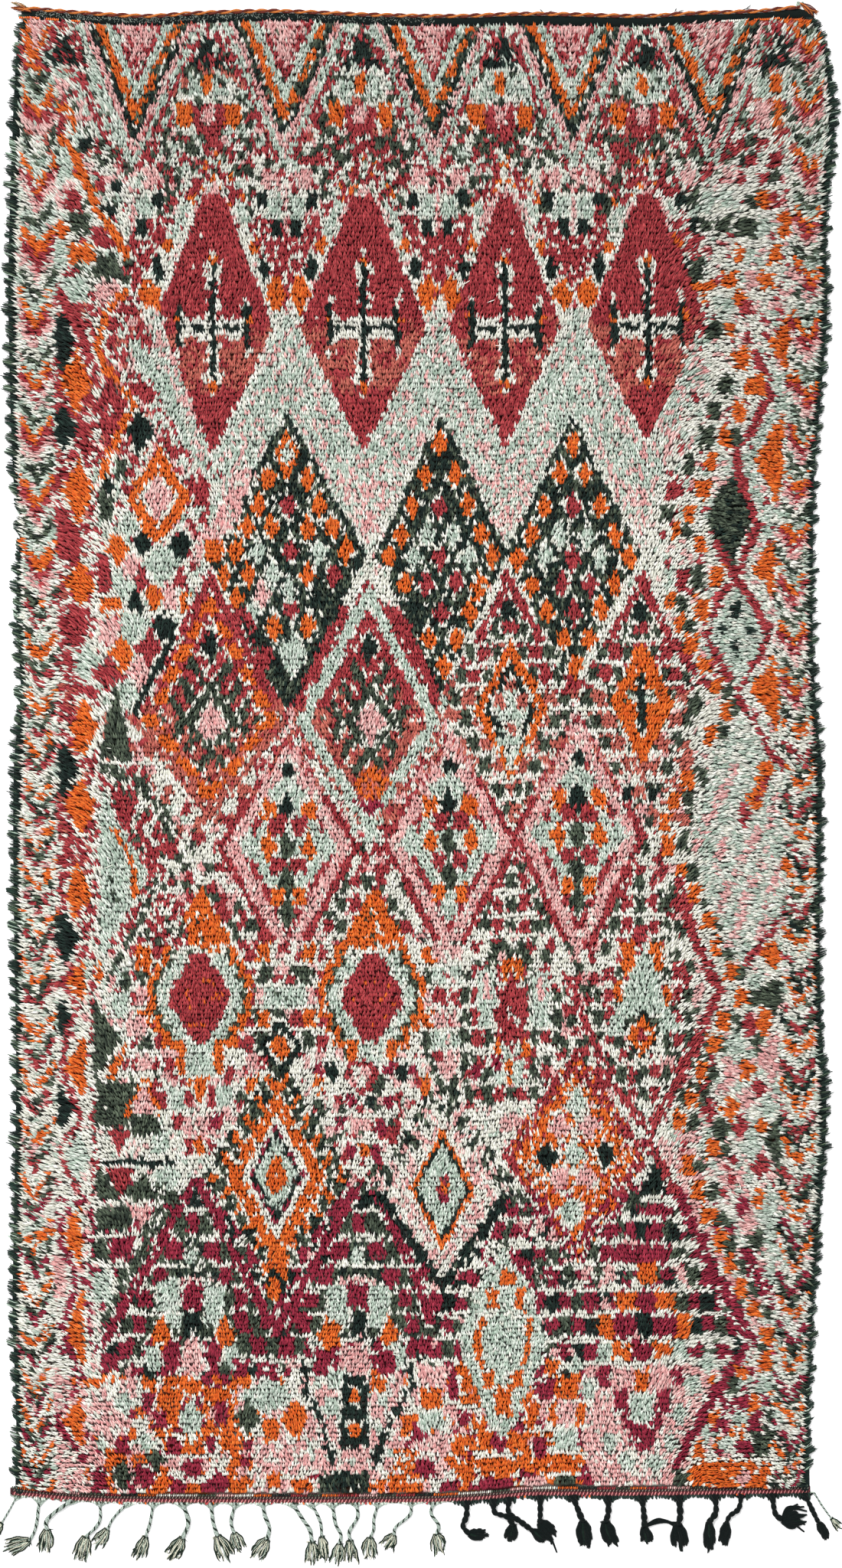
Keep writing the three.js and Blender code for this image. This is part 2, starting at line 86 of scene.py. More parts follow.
# Selvedges
SELVEDGE_TOP = 0.0095
WRAP_PITCH = (0.016, 0.052)
WRAP_REACH = 0.0150
WRAP_SET_BACK = {"left": 0.0046, "right": 0.0066}
WRAP_PALER = {"left": 0.5, "right": 0.14}
WRAP_STRANDS = 20
WRAP_WIDE = 0.0036
WRAP_THICK = 0.0040

# The two ends
TOP_BAND = (-0.888, 0.873)
TOP_BAND_THICK = 0.0045
TOP_CORD = (-0.884, 0.842)
TOP_CORD_RADIUS = 0.0026
TOP_CORD_PITCH = 0.056
TOP_CORD_ABOVE = 0.0036
FRAY_LOCKS = 7
FRAY_HIGHEST_Y = 1.7385
FLECKS = ((-0.855, -0.37, 430), (-0.37, 0.03, 190))
TOP_STITCH_PITCH = 0.0042
BOTTOM_BAND = (-0.913, 0.865)
BOTTOM_BAND_ABOVE = 0.011
BOTTOM_BAND_BELOW = 0.005
BOTTOM_BAND_THICK = 0.005
GREY_TO_BLACK = 0.072
WARP_LOOPS = (-0.905, 0.862)
GAP = 0.0004

# Side edges from the top end to the bottom end: place along, silhouette, and where the pile starts
LEFT_SIDE = (
    (1.695, -0.895, -0.870),
    (1.640, -0.908, -0.880),
    (1.400, -0.920, -0.888),
    (1.160, -0.927, -0.894),
    (1.030, -0.927, -0.894),
    (0.660, -0.915, -0.887),
    (0.610, -0.901, -0.883),
    (0.380, -0.910, -0.880),
    (0.210, -0.900, -0.875),
    (0.040, -0.915, -0.880),
    (-0.300, -0.915, -0.884),
    (-0.640, -0.910, -0.882),
    (-0.980, -0.915, -0.884),
    (-1.180, -0.918, -0.887),
    (-1.400, -0.910, -0.884),
    (-1.580, -0.912, -0.885),
)
RIGHT_SIDE = (
    (1.697, 0.880, 0.856),
    (1.650, 0.905, 0.878),
    (1.570, 0.923, 0.893),
    (1.470, 0.930, 0.899),
    (1.230, 0.910, 0.882),
    (1.060, 0.913, 0.882),
    (0.890, 0.901, 0.872),
    (0.690, 0.884, 0.857),
    (0.550, 0.881, 0.853),
    (0.300, 0.881, 0.853),
    (0.125, 0.892, 0.862),
    (0.040, 0.901, 0.868),
    (-0.300, 0.896, 0.868),
    (-0.520, 0.899, 0.870),
    (-0.725, 0.911, 0.878),
    (-0.980, 0.894, 0.866),
    (-1.150, 0.882, 0.855),
    (-1.285, 0.876, 0.849),
    (-1.400, 0.872, 0.845),
    (-1.575, 0.874, 0.846),
)

# The top end: place across, the band's upper edge and its width
TOP_END = (
    (-0.870, 1.720, 0.020),
    (-0.765, 1.711, 0.019),
    (-0.612, 1.703, 0.018),
    (-0.510, 1.709, 0.019),
    (-0.323, 1.714, 0.019),
    (-0.119, 1.706, 0.019),
    (0.085, 1.703, 0.020),
    (0.240, 1.708, 0.022),
    (0.493, 1.703, 0.021),
    (0.600, 1.709, 0.020),
    (0.765, 1.715, 0.019),
    (0.838, 1.723, 0.022),
    (0.875, 1.716, 0.024),
)

# The bottom end: place across and the middle line of the madder band
BOTTOM_END = (
    (-0.915, -1.574),
    (-0.780, -1.586),
    (-0.650, -1.591),
    (0.000, -1.591),
    (0.150, -1.584),
    (0.240, -1.576),
    (0.470, -1.576),
    (0.870, -1.570),
)

# Braided warp ends: the cord's points, its foot, the tassel's tip, both widths and the tips of stray yarns
GREY_CORDS = (
    (((-0.914, -1.612), (-0.932, -1.642)), -0.898, (-0.951, -1.668), 0.005, 0.018, ()),
    (((-0.856, -1.650), (-0.870, -1.682)), -0.848, (-0.932, -1.702), 0.008, 0.032, ()),
    (((-0.816, -1.620), (-0.833, -1.639), (-0.831, -1.656)), -0.777, (-0.836, -1.712), 0.010, 0.030, ()),
    (((-0.713, -1.632), (-0.724, -1.653), (-0.745, -1.672)), -0.714, (-0.760, -1.734), 0.008, 0.030, ()),
    (((-0.682, -1.629), (-0.697, -1.656)), -0.651, (-0.728, -1.703), 0.007, 0.028, ()),
    (((-0.602, -1.640), (-0.612, -1.672)), -0.595, (-0.634, -1.727), 0.008, 0.026, ()),
    (((-0.517, -1.640), (-0.530, -1.675)), -0.530, (-0.564, -1.731), 0.011, 0.030, ()),
    (((-0.462, -1.640), (-0.453, -1.670)), -0.467, (-0.426, -1.734), 0.010, 0.034, ()),
    (((-0.422, -1.639), (-0.416, -1.664)), -0.413, (-0.398, -1.710), 0.009, 0.028, ()),
    (((-0.347, -1.626), (-0.337, -1.652), (-0.342, -1.678)), -0.352, (-0.376, -1.727), 0.010, 0.032, ()),
    (((-0.264, -1.632), (-0.247, -1.658), (-0.243, -1.684)), -0.286, (-0.240, -1.739), 0.010, 0.028, ()),
    (((-0.224, -1.640), (-0.221, -1.672)), -0.243, (-0.212, -1.734), 0.008, 0.022, ()),
    (((-0.190, -1.644), (-0.178, -1.668), (-0.181, -1.688)), -0.197, (-0.190, -1.739), 0.009, 0.028, ()),
    (((-0.141, -1.629), (-0.159, -1.660), (-0.158, -1.680)), -0.144, (-0.153, -1.737), 0.009, 0.026, ()),
    (((-0.105, -1.634), (-0.105, -1.656), (-0.113, -1.674)), -0.095, (-0.116, -1.726), 0.008, 0.028, ()),
    (((-0.025, -1.624), (-0.056, -1.651), (-0.060, -1.668)), -0.022, (-0.082, -1.703), 0.008, 0.030, ()),
    (((0.022, -1.620), (0.039, -1.647), (0.035, -1.666)), 0.029, (0.044, -1.719), 0.009, 0.030, ()),
)
BRIDGE = ((0.566, -1.641), (0.568, -1.646), (0.564, -1.643), (0.562, -1.648))
BLACK_CORDS = (
    (((0.101, -1.626), (0.093, -1.648), (0.106, -1.666)), 0.102, (0.152, -1.672), 0.011, 0.026, ()),
    (((0.164, -1.618), (0.191, -1.628), (0.205, -1.646)), 0.161, (0.196, -1.688), 0.011, 0.028, ()),
    (((0.195, -1.617), (0.223, -1.640), (0.250, -1.660)), 0.197, (0.282, -1.682), 0.011, 0.026, ()),
    (((0.265, -1.617), (0.264, -1.640)), 0.265, (0.298, -1.677), 0.011, 0.034,
     ((0.302, -1.708), (0.290, -1.690))),
    (((0.352, -1.620), (0.360, -1.638)), 0.337, (0.368, -1.700), 0.012, 0.036, ()),
    (((0.416, -1.620), (0.409, -1.638)), 0.416, (0.427, -1.698), 0.012, 0.036, ()),
    (((0.496, -1.630), (0.496, -1.650)), 0.491, (0.505, -1.691), 0.012, 0.026, BRIDGE),
    (((0.576, -1.624), (0.571, -1.644)), 0.573, (0.578, -1.706), 0.013, 0.036, ()),
    (((0.655, -1.617), (0.640, -1.640)), 0.653, (0.644, -1.710), 0.012, 0.026, ()),
    (((0.706, -1.610), (0.686, -1.626), (0.679, -1.642)), 0.712, (0.670, -1.698), 0.010, 0.026, ()),
    (((0.787, -1.620), (0.802, -1.634)), 0.780, (0.858, -1.637), 0.011, 0.038,
     ((0.852, -1.662), (0.838, -1.600), (0.852, -1.606), (0.858, -1.616), (0.842, -1.606))),
    (((0.874, -1.622), (0.884, -1.642)), 0.852, (0.904, -1.678), 0.010, 0.020, ()),
)
CORNER_CORD_TOP = -1.577
CORNER_CORD = (((0.893, -1.606), (0.912, -1.632)), 0.875, (0.936, -1.658), 0.005, 0.014, ())

# How each kind of cord is made: the finish of each ply and its thickness, the cord's radius and pitch as
# parts of its width, the tassel's breadth, its locks' radius and finishes, and the radius and finishes of
# the warps that run into the cord
# In the grey cords finish 3, dark green, is painted shadow: it lies under the locks and twists between the
# plies
GREY_STYLE = {
    "plies": (2, 3, 2), "girths": {2: 1.0, 3: 0.86}, "radius": 0.29, "pitch": 2.0, "breadth": 1.22,
    "lock": 0.0013, "tones": (1, 0, 1), "under": 3, "warp": 0.0013, "warps": (0, 2), "sides": 4,
}
BLACK_STYLE = {
    "plies": (0, 0), "girths": {0: 1.15}, "radius": 0.33, "pitch": 2.6, "breadth": 1.0,
    "lock": 0.0028, "tones": (0, 0, 0, 1), "under": 0, "warp": 0.0024, "warps": (0, 0), "sides": 6,
}
FOOT_STEP = 0.02
FOOT_BELOW = 0.0050
FOOT_RADIUS = 0.0011
CORD_BELOW = 0.0060
WARPS_PER_CORD = 7
STRAY_ENDS = 6

# Yarn that frays out of the top cord's ends: from the cord to the tip, the width and the number of the finish
TOP_FRAYS = (
    ((-0.868, 1.719), (-0.912, 1.726), 0.0060, 1),
    ((-0.868, 1.718), (-0.904, 1.736), 0.0045, 2),
    ((-0.866, 1.717), (-0.898, 1.721), 0.0040, 0),
    ((0.834, 1.727), (0.840, 1.7385), 0.0075, 3),
    ((0.838, 1.729), (0.850, 1.737), 0.0060, 3),
    ((0.842, 1.737), (0.874, 1.714), 0.0075, 1),
    ((0.846, 1.734), (0.872, 1.708), 0.0060, 0),
    ((0.852, 1.730), (0.880, 1.717), 0.0060, 1),
)

# Each yarn as two strands, a light and a dark one, as they look in soft light: its heather plus painted
# highlight and shade
IVORY, SAGE, PINK, CORAL, CRIMSON, WINE, ORANGE, BLACK, CHARCOAL = range(9)
YARN_STRANDS = (
    ((0.99, 0.98, 0.95), (0.86, 0.86, 0.80)),
    ((0.96, 0.98, 0.94), (0.58, 0.67, 0.60)),
    ((0.99, 0.87, 0.84), (0.84, 0.54, 0.54)),
    ((0.86, 0.50, 0.43), (0.65, 0.30, 0.27)),
    ((0.78, 0.32, 0.33), (0.53, 0.13, 0.17)),
    ((0.69, 0.22, 0.30), (0.48, 0.10, 0.19)),
    ((0.96, 0.50, 0.20), (0.80, 0.32, 0.10)),
    ((0.16, 0.24, 0.21), (0.02, 0.06, 0.06)),
    ((0.42, 0.47, 0.39), (0.02, 0.08, 0.07)),
)

# Runs of coloured stitches along the bottom end, and along the top one each with its ends
STITCH_RUNS = (BLACK, ORANGE, CHARCOAL, PINK, CRIMSON, IVORY, CHARCOAL, ORANGE, BLACK, CRIMSON, IVORY, PINK,
    CHARCOAL, ORANGE, IVORY, CRIMSON)
TOP_STITCHES = (
    (-0.892, -0.846, ORANGE),
    (-0.832, -0.804, ORANGE),
    (-0.776, -0.756, ORANGE),
    (0.740, 0.796, ORANGE),
    (0.668, 0.724, IVORY),
)

# Dark bits that stand above the top edge: foot, then how far the tip lies from it
TOP_BITS = (
    (0.279, 1.7125, 0.012, 0.006),
    (0.272, 1.714, -0.008, 0.009),
    (0.564, 1.716, 0.004, 0.009),
    (0.572, 1.716, 0.012, 0.004),
    (0.722, 1.722, 0.012, 0.010),
    (0.712, 1.72, 0.018, 0.004),
)

rng = np.random.default_rng(SEED)


def smooth_line(rows, column):
    """Reads a column of a table as a smooth line through its rows, by their first number."""
    rows = np.array(sorted(rows))
    places, values = rows[:, 0], rows[:, column]
    before = np.maximum(np.arange(len(rows)) - 1, 0)
    after = np.minimum(np.arange(len(rows)) + 1, len(rows) - 1)
    slopes = (values[after] - values[before]) / (places[after] - places[before])

    def read(place):
        at = np.clip(place, places[0], places[-1])
        i = np.clip(np.searchsorted(places, at, side="right") - 1, 0, len(rows) - 2)
        span = places[i + 1] - places[i]
        t = (at - places[i]) / span
        rise = t * t * (3 - 2 * t)
        bend = t * (1 - t) ** 2 * span * slopes[i] + t * t * (t - 1) * span * slopes[i + 1]
        return values[i] + (values[i + 1] - values[i]) * rise + bend

    return read


left_outer = smooth_line(LEFT_SIDE, 1)
left_inner = smooth_line(LEFT_SIDE, 2)
right_outer = smooth_line(RIGHT_SIDE, 1)
right_inner = smooth_line(RIGHT_SIDE, 2)
top_edge = smooth_line(TOP_END, 1)
top_width = smooth_line(TOP_END, 2)
bottom_line = smooth_line(BOTTOM_END, 1)


def body_place(across, rise):
    """A place on the woven body: across from 0 at the left to 1, rise from 0 at the bottom end to 1."""
    def along(x):
        low = bottom_line(x) + BOTTOM_BAND_ABOVE + GAP
        high = top_edge(x) - top_width(x) - GAP
        return low + (high - low) * rise

    y = along(0.9 * (2 * across - 1))
    left = left_inner(y) + GAP
    right = right_inner(y) - GAP
    x = left + (right - left) * across
    return x, along(x)


def sway(x, y, size, seed):
    """A smooth uneven field from -1 to 1, with lumps of a size."""
    grid = np.random.default_rng(seed).uniform(-1, 1, (160, 160))
    u, v = x / size + 60.0, y / size + 60.0
    i, j = np.floor(u).astype(int), np.floor(v).astype(int)
    s, t = u - i, v - j
    s, t = s * s * (3 - 2 * s), t * t * (3 - 2 * t)
    i, j = i % 159, j % 159
    low = grid[j, i] * (1 - s) + grid[j, i + 1] * s
    high = grid[j + 1, i] * (1 - s) + grid[j + 1, i + 1] * s
    return low * (1 - t) + high * t


def ramp(value, start, end):
    """A smooth rise from 0 at the start to 1 at the end."""
    t = np.clip((value - start) / (end - start), 0, 1)
    return t * t * (3 - 2 * t)


def seen(colour):
    """Linear light for a colour as it looks on a screen."""
    colour = np.asarray(colour, dtype=float)
    return np.where(colour <= 0.04045, colour / 12.92, ((colour + 0.055) / 1.055) ** 2.4)


def points_at(x, y, z):
    """Points as rows, each of x, y and z a number or a row of numbers."""
    return np.stack(np.broadcast_arrays(x, y, z), axis=1)


# The pattern


class Chart:
    """The pattern, painted shape by shape onto the knots; a later shape covers an earlier one."""

    def __init__(self, x, y):
        self.rng = np.random.default_rng(CHART_SEED)
        self.x = x + self.rng.normal(0, 1.0, len(x))
        self.y = y + self.rng.normal(0, 1.5, len(y))
        self.chance = self.rng.random(len(x))
        self.yarn = np.full(len(x), IVORY)
        self.patchwork = self.rng.random((400, 200))

    def within(self, left, top, right, bottom):
        """Which knots lie in a box."""
        return (self.x >= left) & (self.x < right) & (self.y >= top) & (self.y < bottom)

    def free_of(self, *yarns):
        """Which knots have none of some yarns."""
        return ~np.isin(self.yarn, yarns)

    def some(self, yarn, share, where):
        """Ties a yarn to a share of the knots at a place."""
        self.yarn[where & (self.chance < share)] = yarn

    def mix(self, where, *shares, grain=0):
        """A mixture of yarns, pairs of a yarn and its share, knot by knot or in patches of a grain."""
        pick = self.rng.random(len(self.x))
        if grain:
            row = (self.y / (grain * 1.15)).astype(int)
            pick = self.patchwork[row % 400, ((self.x + 0.4 * grain * row) / grain).astype(int) % 200]
        start = 0.0
        for yarn, share in shares:
            self.yarn[where & (pick >= start) & (pick < start + share)] = yarn
            start += share

    def patch(self, left, top, right, bottom, *shares, grain=0):
        """A mixture of yarns in a box."""
        self.mix(self.within(left, top, right, bottom), *shares, grain=grain)

    def shape(self, off, yarn, edge=3.0):
        """Paints where off is under zero, with a broken outline up to edge."""
        self.yarn[(off < edge) & (off >= 0) & (self.chance < 0.55)] = IVORY
        self.yarn[off < 0] = yarn

    def off_lozenge(self, x, y, wide, tall):
        """How far each knot lies outside a lozenge's sides, and under zero inside."""
        reach = np.abs(self.x - x) / wide + np.abs(self.y - y) / tall
        return (reach - 1) * wide * tall / np.hypot(wide, tall)

    def off_kite(self, x, y, wide, up, down):
        """A lozenge whose upper and lower halves differ in height."""
        return self.off_lozenge(x, y, wide, np.where(self.y < y, up, down))

    def off_line(self, points, width):
        """The same for a broad line through points."""
        near = np.full(len(self.x), np.inf)
        for (x0, y0), (x1, y1) in zip(points, points[1:]):
            dx, dy = x1 - x0, y1 - y0
            part = np.clip(((self.x - x0) * dx + (self.y - y0) * dy) / (dx * dx + dy * dy), 0, 1)
            near = np.minimum(near, np.hypot(self.x - x0 - part * dx, self.y - y0 - part * dy))
        return near - width / 2

    def blocks(self, yarn, *places, edge=3.0):
        """Blocks: middle x and y, half width, half height."""
        for x, y, wide, tall in places:
            self.shape(np.maximum(np.abs(self.x - x) - wide, np.abs(self.y - y) - tall), yarn, edge)

    def lozenges(self, yarn, *places, edge=3.0):
        """Lozenges: middle x and y, half width, half height."""
        for x, y, wide, tall in places:
            self.shape(self.off_lozenge(x, y, wide, tall), yarn, edge)

    def halves(self, yarn, *places, edge=3.0):
        """Half lozenges with an upright side at x, whose point reaches out to the right or left."""
        for x, y, wide, tall in places:
            side = (x - self.x) * np.sign(wide)
            self.shape(np.maximum(self.off_lozenge(x, y, abs(wide), tall), side), yarn, edge)

    def nest(self, x, y, wide, tall, *rings, edge=2.5):
        """Nested lozenges from the outside in: pairs of a yarn and its share of the size."""
        for yarn, share in rings:
            self.shape(self.off_lozenge(x, y, wide * share, tall * share), yarn, edge)

    def wedges(self, yarn, *places, edge=3.0):
        """Triangles: x, y of the tip, y of the base and half width of the base."""
        for x, tip, base, wide in places:
            part = (self.y - tip) / (base - tip)
            off = (np.abs(self.x - x) - wide * part) * 0.8
            over = np.abs(self.y - (tip + base) / 2) - abs(base - tip) / 2
            self.shape(np.maximum(off, over), yarn, edge)

    def lines(self, yarn, width, *paths, edge=2.5, gaps=0.0):
        """Lines of yarn through points."""
        for points in paths:
            off = self.off_line(points, width)
            off = np.where((off < 0) & (self.rng.random(len(off)) < gaps), 0.1, off)
            self.shape(off, yarn, edge)

    def checks(self, where, left, top, across, down, yarns):
        """Small blocks in rows, with a light line between the rows."""
        row = np.floor((self.y - top) / down).astype(int)
        column = np.floor((self.x - left) / across).astype(int) + row
        for k, yarn in enumerate(yarns):
            self.yarn[where & (column % len(yarns) == k)] = yarn
        self.yarn[where & ((self.y - top) % down < 8) & (self.chance < 0.85)] = IVORY

    def chevrons(self, where, phase, *bands):
        """Stacked points: bands are pairs of a yarn and the part of the phase where it ends."""
        phase = phase % 1
        start = 0.0
        for yarn, end in bands:
            self.yarn[where & (phase >= start) & (phase < end)] = yarn
            start = end


def mirrored(middle, *places):
    """Each place, and the same on the other side of the middle."""
    return [(x, *rest) for dx, *rest in places for x in (middle - dx, middle + dx)]


def half_lozenges(c):
    """Five nested half lozenges hang from the top end, with small figures between them."""
    c.patch(75, 20, 1030, 300, (IVORY, 0.3), (CRIMSON, 0.31), (CHARCOAL, 0.24), (PINK, 0.08), (SAGE, 0.07),
        grain=8)
    # Extra dark knots that make the upper ground darker, partly as painted shade between its long tufts
    c.patch(75, 120, 1030, 300, (CHARCOAL, 0.1), grain=9)
    for x, drift in ((181, -7), (373, -1), (565, 2), (745, 4), (928, 6)):
        middle = x + drift * (c.y - 28) / 217
        reach = np.abs(c.x - middle) / 90 + (c.y - 24) / 212
        c.nest(middle, 24, 90, 212, (CRIMSON, 1), (SAGE, 0.945), (PINK, 0.85), (BLACK, 0.76),
            (ORANGE, 0.655), (SAGE, 0.53), (CRIMSON, 0.40), (PINK, 0.335), edge=1)
        step = (c.y + 0.3 * c.x) % 25
        arm = c.x > middle
        c.yarn[(reach > 0.54) & (reach < 0.655) & arm & (step < 9)] = CHARCOAL
        c.mix(np.abs(reach - 0.7) < 0.04, (IVORY, 0.12), (CHARCOAL, 0.3))
        c.mix(np.abs(reach - 0.84) < 0.012, (CRIMSON, 0.5))
        c.mix((reach < 0.335) & (c.chance < reach * 1.2), (CRIMSON, 0.5), (IVORY, 0.1))
    c.lines(SAGE, 10, ((112, 60), (122, 106), (136, 146), (164, 204)), gaps=0.3)
    c.lines(CRIMSON, 8, ((100, 60), (107, 96), (120, 142), (150, 200), (170, 235)), gaps=0.1)
    c.nest(48, 24, 46, 190, (IVORY, 1), (CRIMSON, 0.75), (ORANGE, 0.5), (PINK, 0.25))
    c.nest(1042, 24, 44, 60, (CRIMSON, 1), (IVORY, 0.75), (ORANGE, 0.5))
    for x, y in ((82, 84), (272, 88), (472, 89), (656, 88), (842, 88), (1018, 88)):
        c.patch(x - 22, 26, x + 22, y, (IVORY, 0.35), (SAGE, 0.25), (CRIMSON, 0.15), grain=6)
        c.wedges(BLACK, (x, 34, y + 2, 31), edge=2)
        c.mix(c.within(x - 26, 38, x + 26, y) & (c.yarn == BLACK), (CRIMSON, 0.16), (SAGE, 0.1),
            (IVORY, 0.05), grain=4)
        c.lines(CRIMSON, 6, ((x, 26), (x, 44)), ((x - 12, 52), (x - 30, y)), ((x + 12, 52), (x + 30, y)),
            gaps=0.15)
    for x, y in ((272, 110), (471, 111), (654, 112), (840, 112), (1014, 112)):
        c.blocks(IVORY, (x, y, 33, 22), edge=0)
        c.blocks(SAGE, (x, y + 1, 26, 14), edge=0)
        c.mix(c.within(x - 26, y - 13, x + 26, y + 15) & (c.yarn == SAGE), (CHARCOAL, 0.08), (IVORY, 0.1))
        c.blocks(ORANGE, (x - 1, y - 1, 7, 13), edge=2)
        if x < 1000:
            c.wedges(CRIMSON, (x, y + 92, y + 26, 34), edge=2)
            c.blocks(PINK, (x, y + 39, 8, 11), edge=1)
            c.blocks(ORANGE, *mirrored(x, (32, y + 38, 10, 15)))
            c.blocks(CHARCOAL, *mirrored(x, (37, y + 74, 7, 9), (18, y + 84, 7, 9)))
            c.blocks(IVORY, *mirrored(x, (31, y + 62, 11, 5)), edge=0)
    c.blocks(PINK, (996, 150, 10, 16))
    c.blocks(ORANGE, (1014, 150, 6, 16))
    for middle in (277, 472, 655, 845):
        inside = c.within(middle - 48, 174, middle + 48, 206) & c.free_of(SAGE, PINK)
        c.mix(inside, (IVORY, 0.2), (CHARCOAL, 0.3), (CRIMSON, 0.34), grain=7)


def big_diamonds(c):
    """Four large crimson diamonds, each with a dark cross, under small peaks."""
    diamonds = ((278, 425, 222, 594, 79), (475, 425, 222, 590, 84), (660, 425, 233, 582, 73),
        (846, 422, 226, 576, 80))
    for x in [diamond[0] for diamond in diamonds]:
        spot = (np.abs(c.x - x) < 0.8 * (c.y - 196)) & c.within(x - 46, 200, x + 46, 268)
        c.mix(spot, (IVORY, 0.2), (ORANGE, 0.25), (SAGE, 0.2), (CHARCOAL, 0.1), (CRIMSON, 0.25), grain=4)
        c.lines(CRIMSON, 13, ((x - 12, 224), (x - 52, 300)), ((x + 12, 224), (x + 52, 300)), gaps=0.25)
        c.wedges(PINK, (x, 236, 292, 40))
        c.lines(SAGE, 12, ((x - 34, 270), (x - 58, 322)), ((x + 34, 270), (x + 58, 322)), edge=4)
        c.mix(c.within(x - 60, 240, x + 60, 330) & ((c.yarn == PINK) | (c.yarn == SAGE)), (IVORY, 0.2))
    for x in (173, 374, 572, 749, 924):
        c.patch(x - 44, 214, x + 44, 250, (IVORY, 0.34), (PINK, 0.2), (CRIMSON, 0.26), (CHARCOAL, 0.14),
            grain=8)
        c.mix((np.abs(c.x - x) < 0.5 * (404 - c.y)) & c.within(x - 46, 282, x + 46, 404), (CRIMSON, 0.78),
            (IVORY, 0.22))
        c.blocks(IVORY, (x, 254, 30, 5), edge=0)
        c.blocks(SAGE, *mirrored(x, (16, 270, 11, 14)), edge=4)
        c.blocks(BLACK, *mirrored(x, (33, 260, 7, 10), (13, 296, 7, 11)))
        c.blocks(PINK, *mirrored(x, (24, 232, 8, 12)))
        c.lines(PINK, 5, ((x, 244), (x, 300)), edge=2)
        c.lozenges(ORANGE, *mirrored(x + 2, (44, 320, 8, 12), (16, 382, 15, 25)))
        c.lozenges(BLACK, *mirrored(x + 2, (31, 350, 9, 20)), edge=4)
    for x, y, top, bottom, wide in diamonds:
        off = c.off_kite(x, y, wide, y - top, bottom - y)
        off = np.where(c.y < y, np.maximum(off, 254 - c.y), off)
        c.shape(off, CRIMSON, edge=2)
        c.mix(off < -2, (IVORY, 0.006))
        fade = np.interp(c.y, (412, 440, 500, 520), (0, 0.8, 0.75, 0))
        if x == 660:
            fade = fade * 0.7
        grain = c.patchwork[(c.y / 6).astype(int) % 400, ((c.x + 0.4 * c.y) / 9).astype(int) % 200]
        c.some(CORAL, 0.9, (off < -1) & (grain < fade))
        cross(c, x, y + 3)


def cross(c, x, y):
    """A thin dark cross with light bands along its arms, upright bars at their ends and small caps."""
    c.blocks(IVORY, *mirrored(x, (22, y - 9, 19, 5), (22, y + 9, 19, 5)), edge=0)
    c.blocks(BLACK, (x, y - 44, 4, 42), (x, y + 36, 4, 36), *mirrored(x, (44, y - 3, 4, 28)), edge=0)
    c.blocks(BLACK, (x, y, 47, 4), edge=0)
    for k in range(-9, 9):
        side = 6 if k % 2 else -6
        c.blocks(IVORY, (x + side, y + 9 * k, 2.5, 3.5),
            (x + (44 if k > -4 and k < 3 else 0) * (side / 6) - side, y + 9 * k, 2, 3), edge=0)
    c.blocks(IVORY, *mirrored(x, (9, y - 78, 3, 10), (9, y + 64, 4, 7), (44, y - 37, 3, 6),
        (46, y + 33, 3, 6)), (x, y - 98, 3, 5), (x, y + 84, 3, 5), edge=0)
    c.blocks(ORANGE, (x, y - 88, 6, 5), (x, y + 76, 5, 6), (x + 49, y - 12, 3, 5), (x - 46, y - 14, 3, 5),
        edge=0)


def sage_field(c):
    """A zigzag field of sage heather between the diamonds and the lattices."""
    peaks = np.interp(c.x, (180, 278, 377, 475, 573, 660, 753, 846, 925), (330, 600, 400, 596, 400, 588,
        400, 582, 400))
    valleys = np.interp(c.x, (225, 298, 374, 479, 575, 660, 752, 836, 918),
        (560, 700, 540, 711, 538, 710, 541, 703, 470))
    field = (c.y > peaks) & (c.y < valleys) & (c.x > 196) & (c.x < 915)
    c.yarn[field] = SAGE
    c.mix(field, (PINK, 0.07), (IVORY, 0.15))
    c.mix(field & ((c.x < 285) | (c.x > 865)), (PINK, 0.28), grain=5)
    near = np.min([np.abs(c.x - x) for x in (377, 573, 753)], axis=0)
    streak = (c.y - 1.5 * near + 9 * np.sin(c.x * 0.1) + 5 * np.sin(c.y * 0.21)) % 38
    deep = np.interp(c.y, (400, 470, 560, 640, 690), (0.3, 0.5, 0.6, 0.9, 1))
    c.mix(field & (streak < 12) & (c.chance < 0.2 + 0.7 * deep), (PINK, 0.8))
    c.mix(field & (c.y > 605 + 75 * c.chance), (PINK, 0.5), (IVORY, 0.25))
    c.some(IVORY, 0.3, (np.abs(c.y - peaks) < 4) & (c.x > 196) & (c.x < 915))
    c.some(IVORY, 0.5, (np.abs(c.y - valleys) < 3) & (c.x > 225) & (c.x < 915))


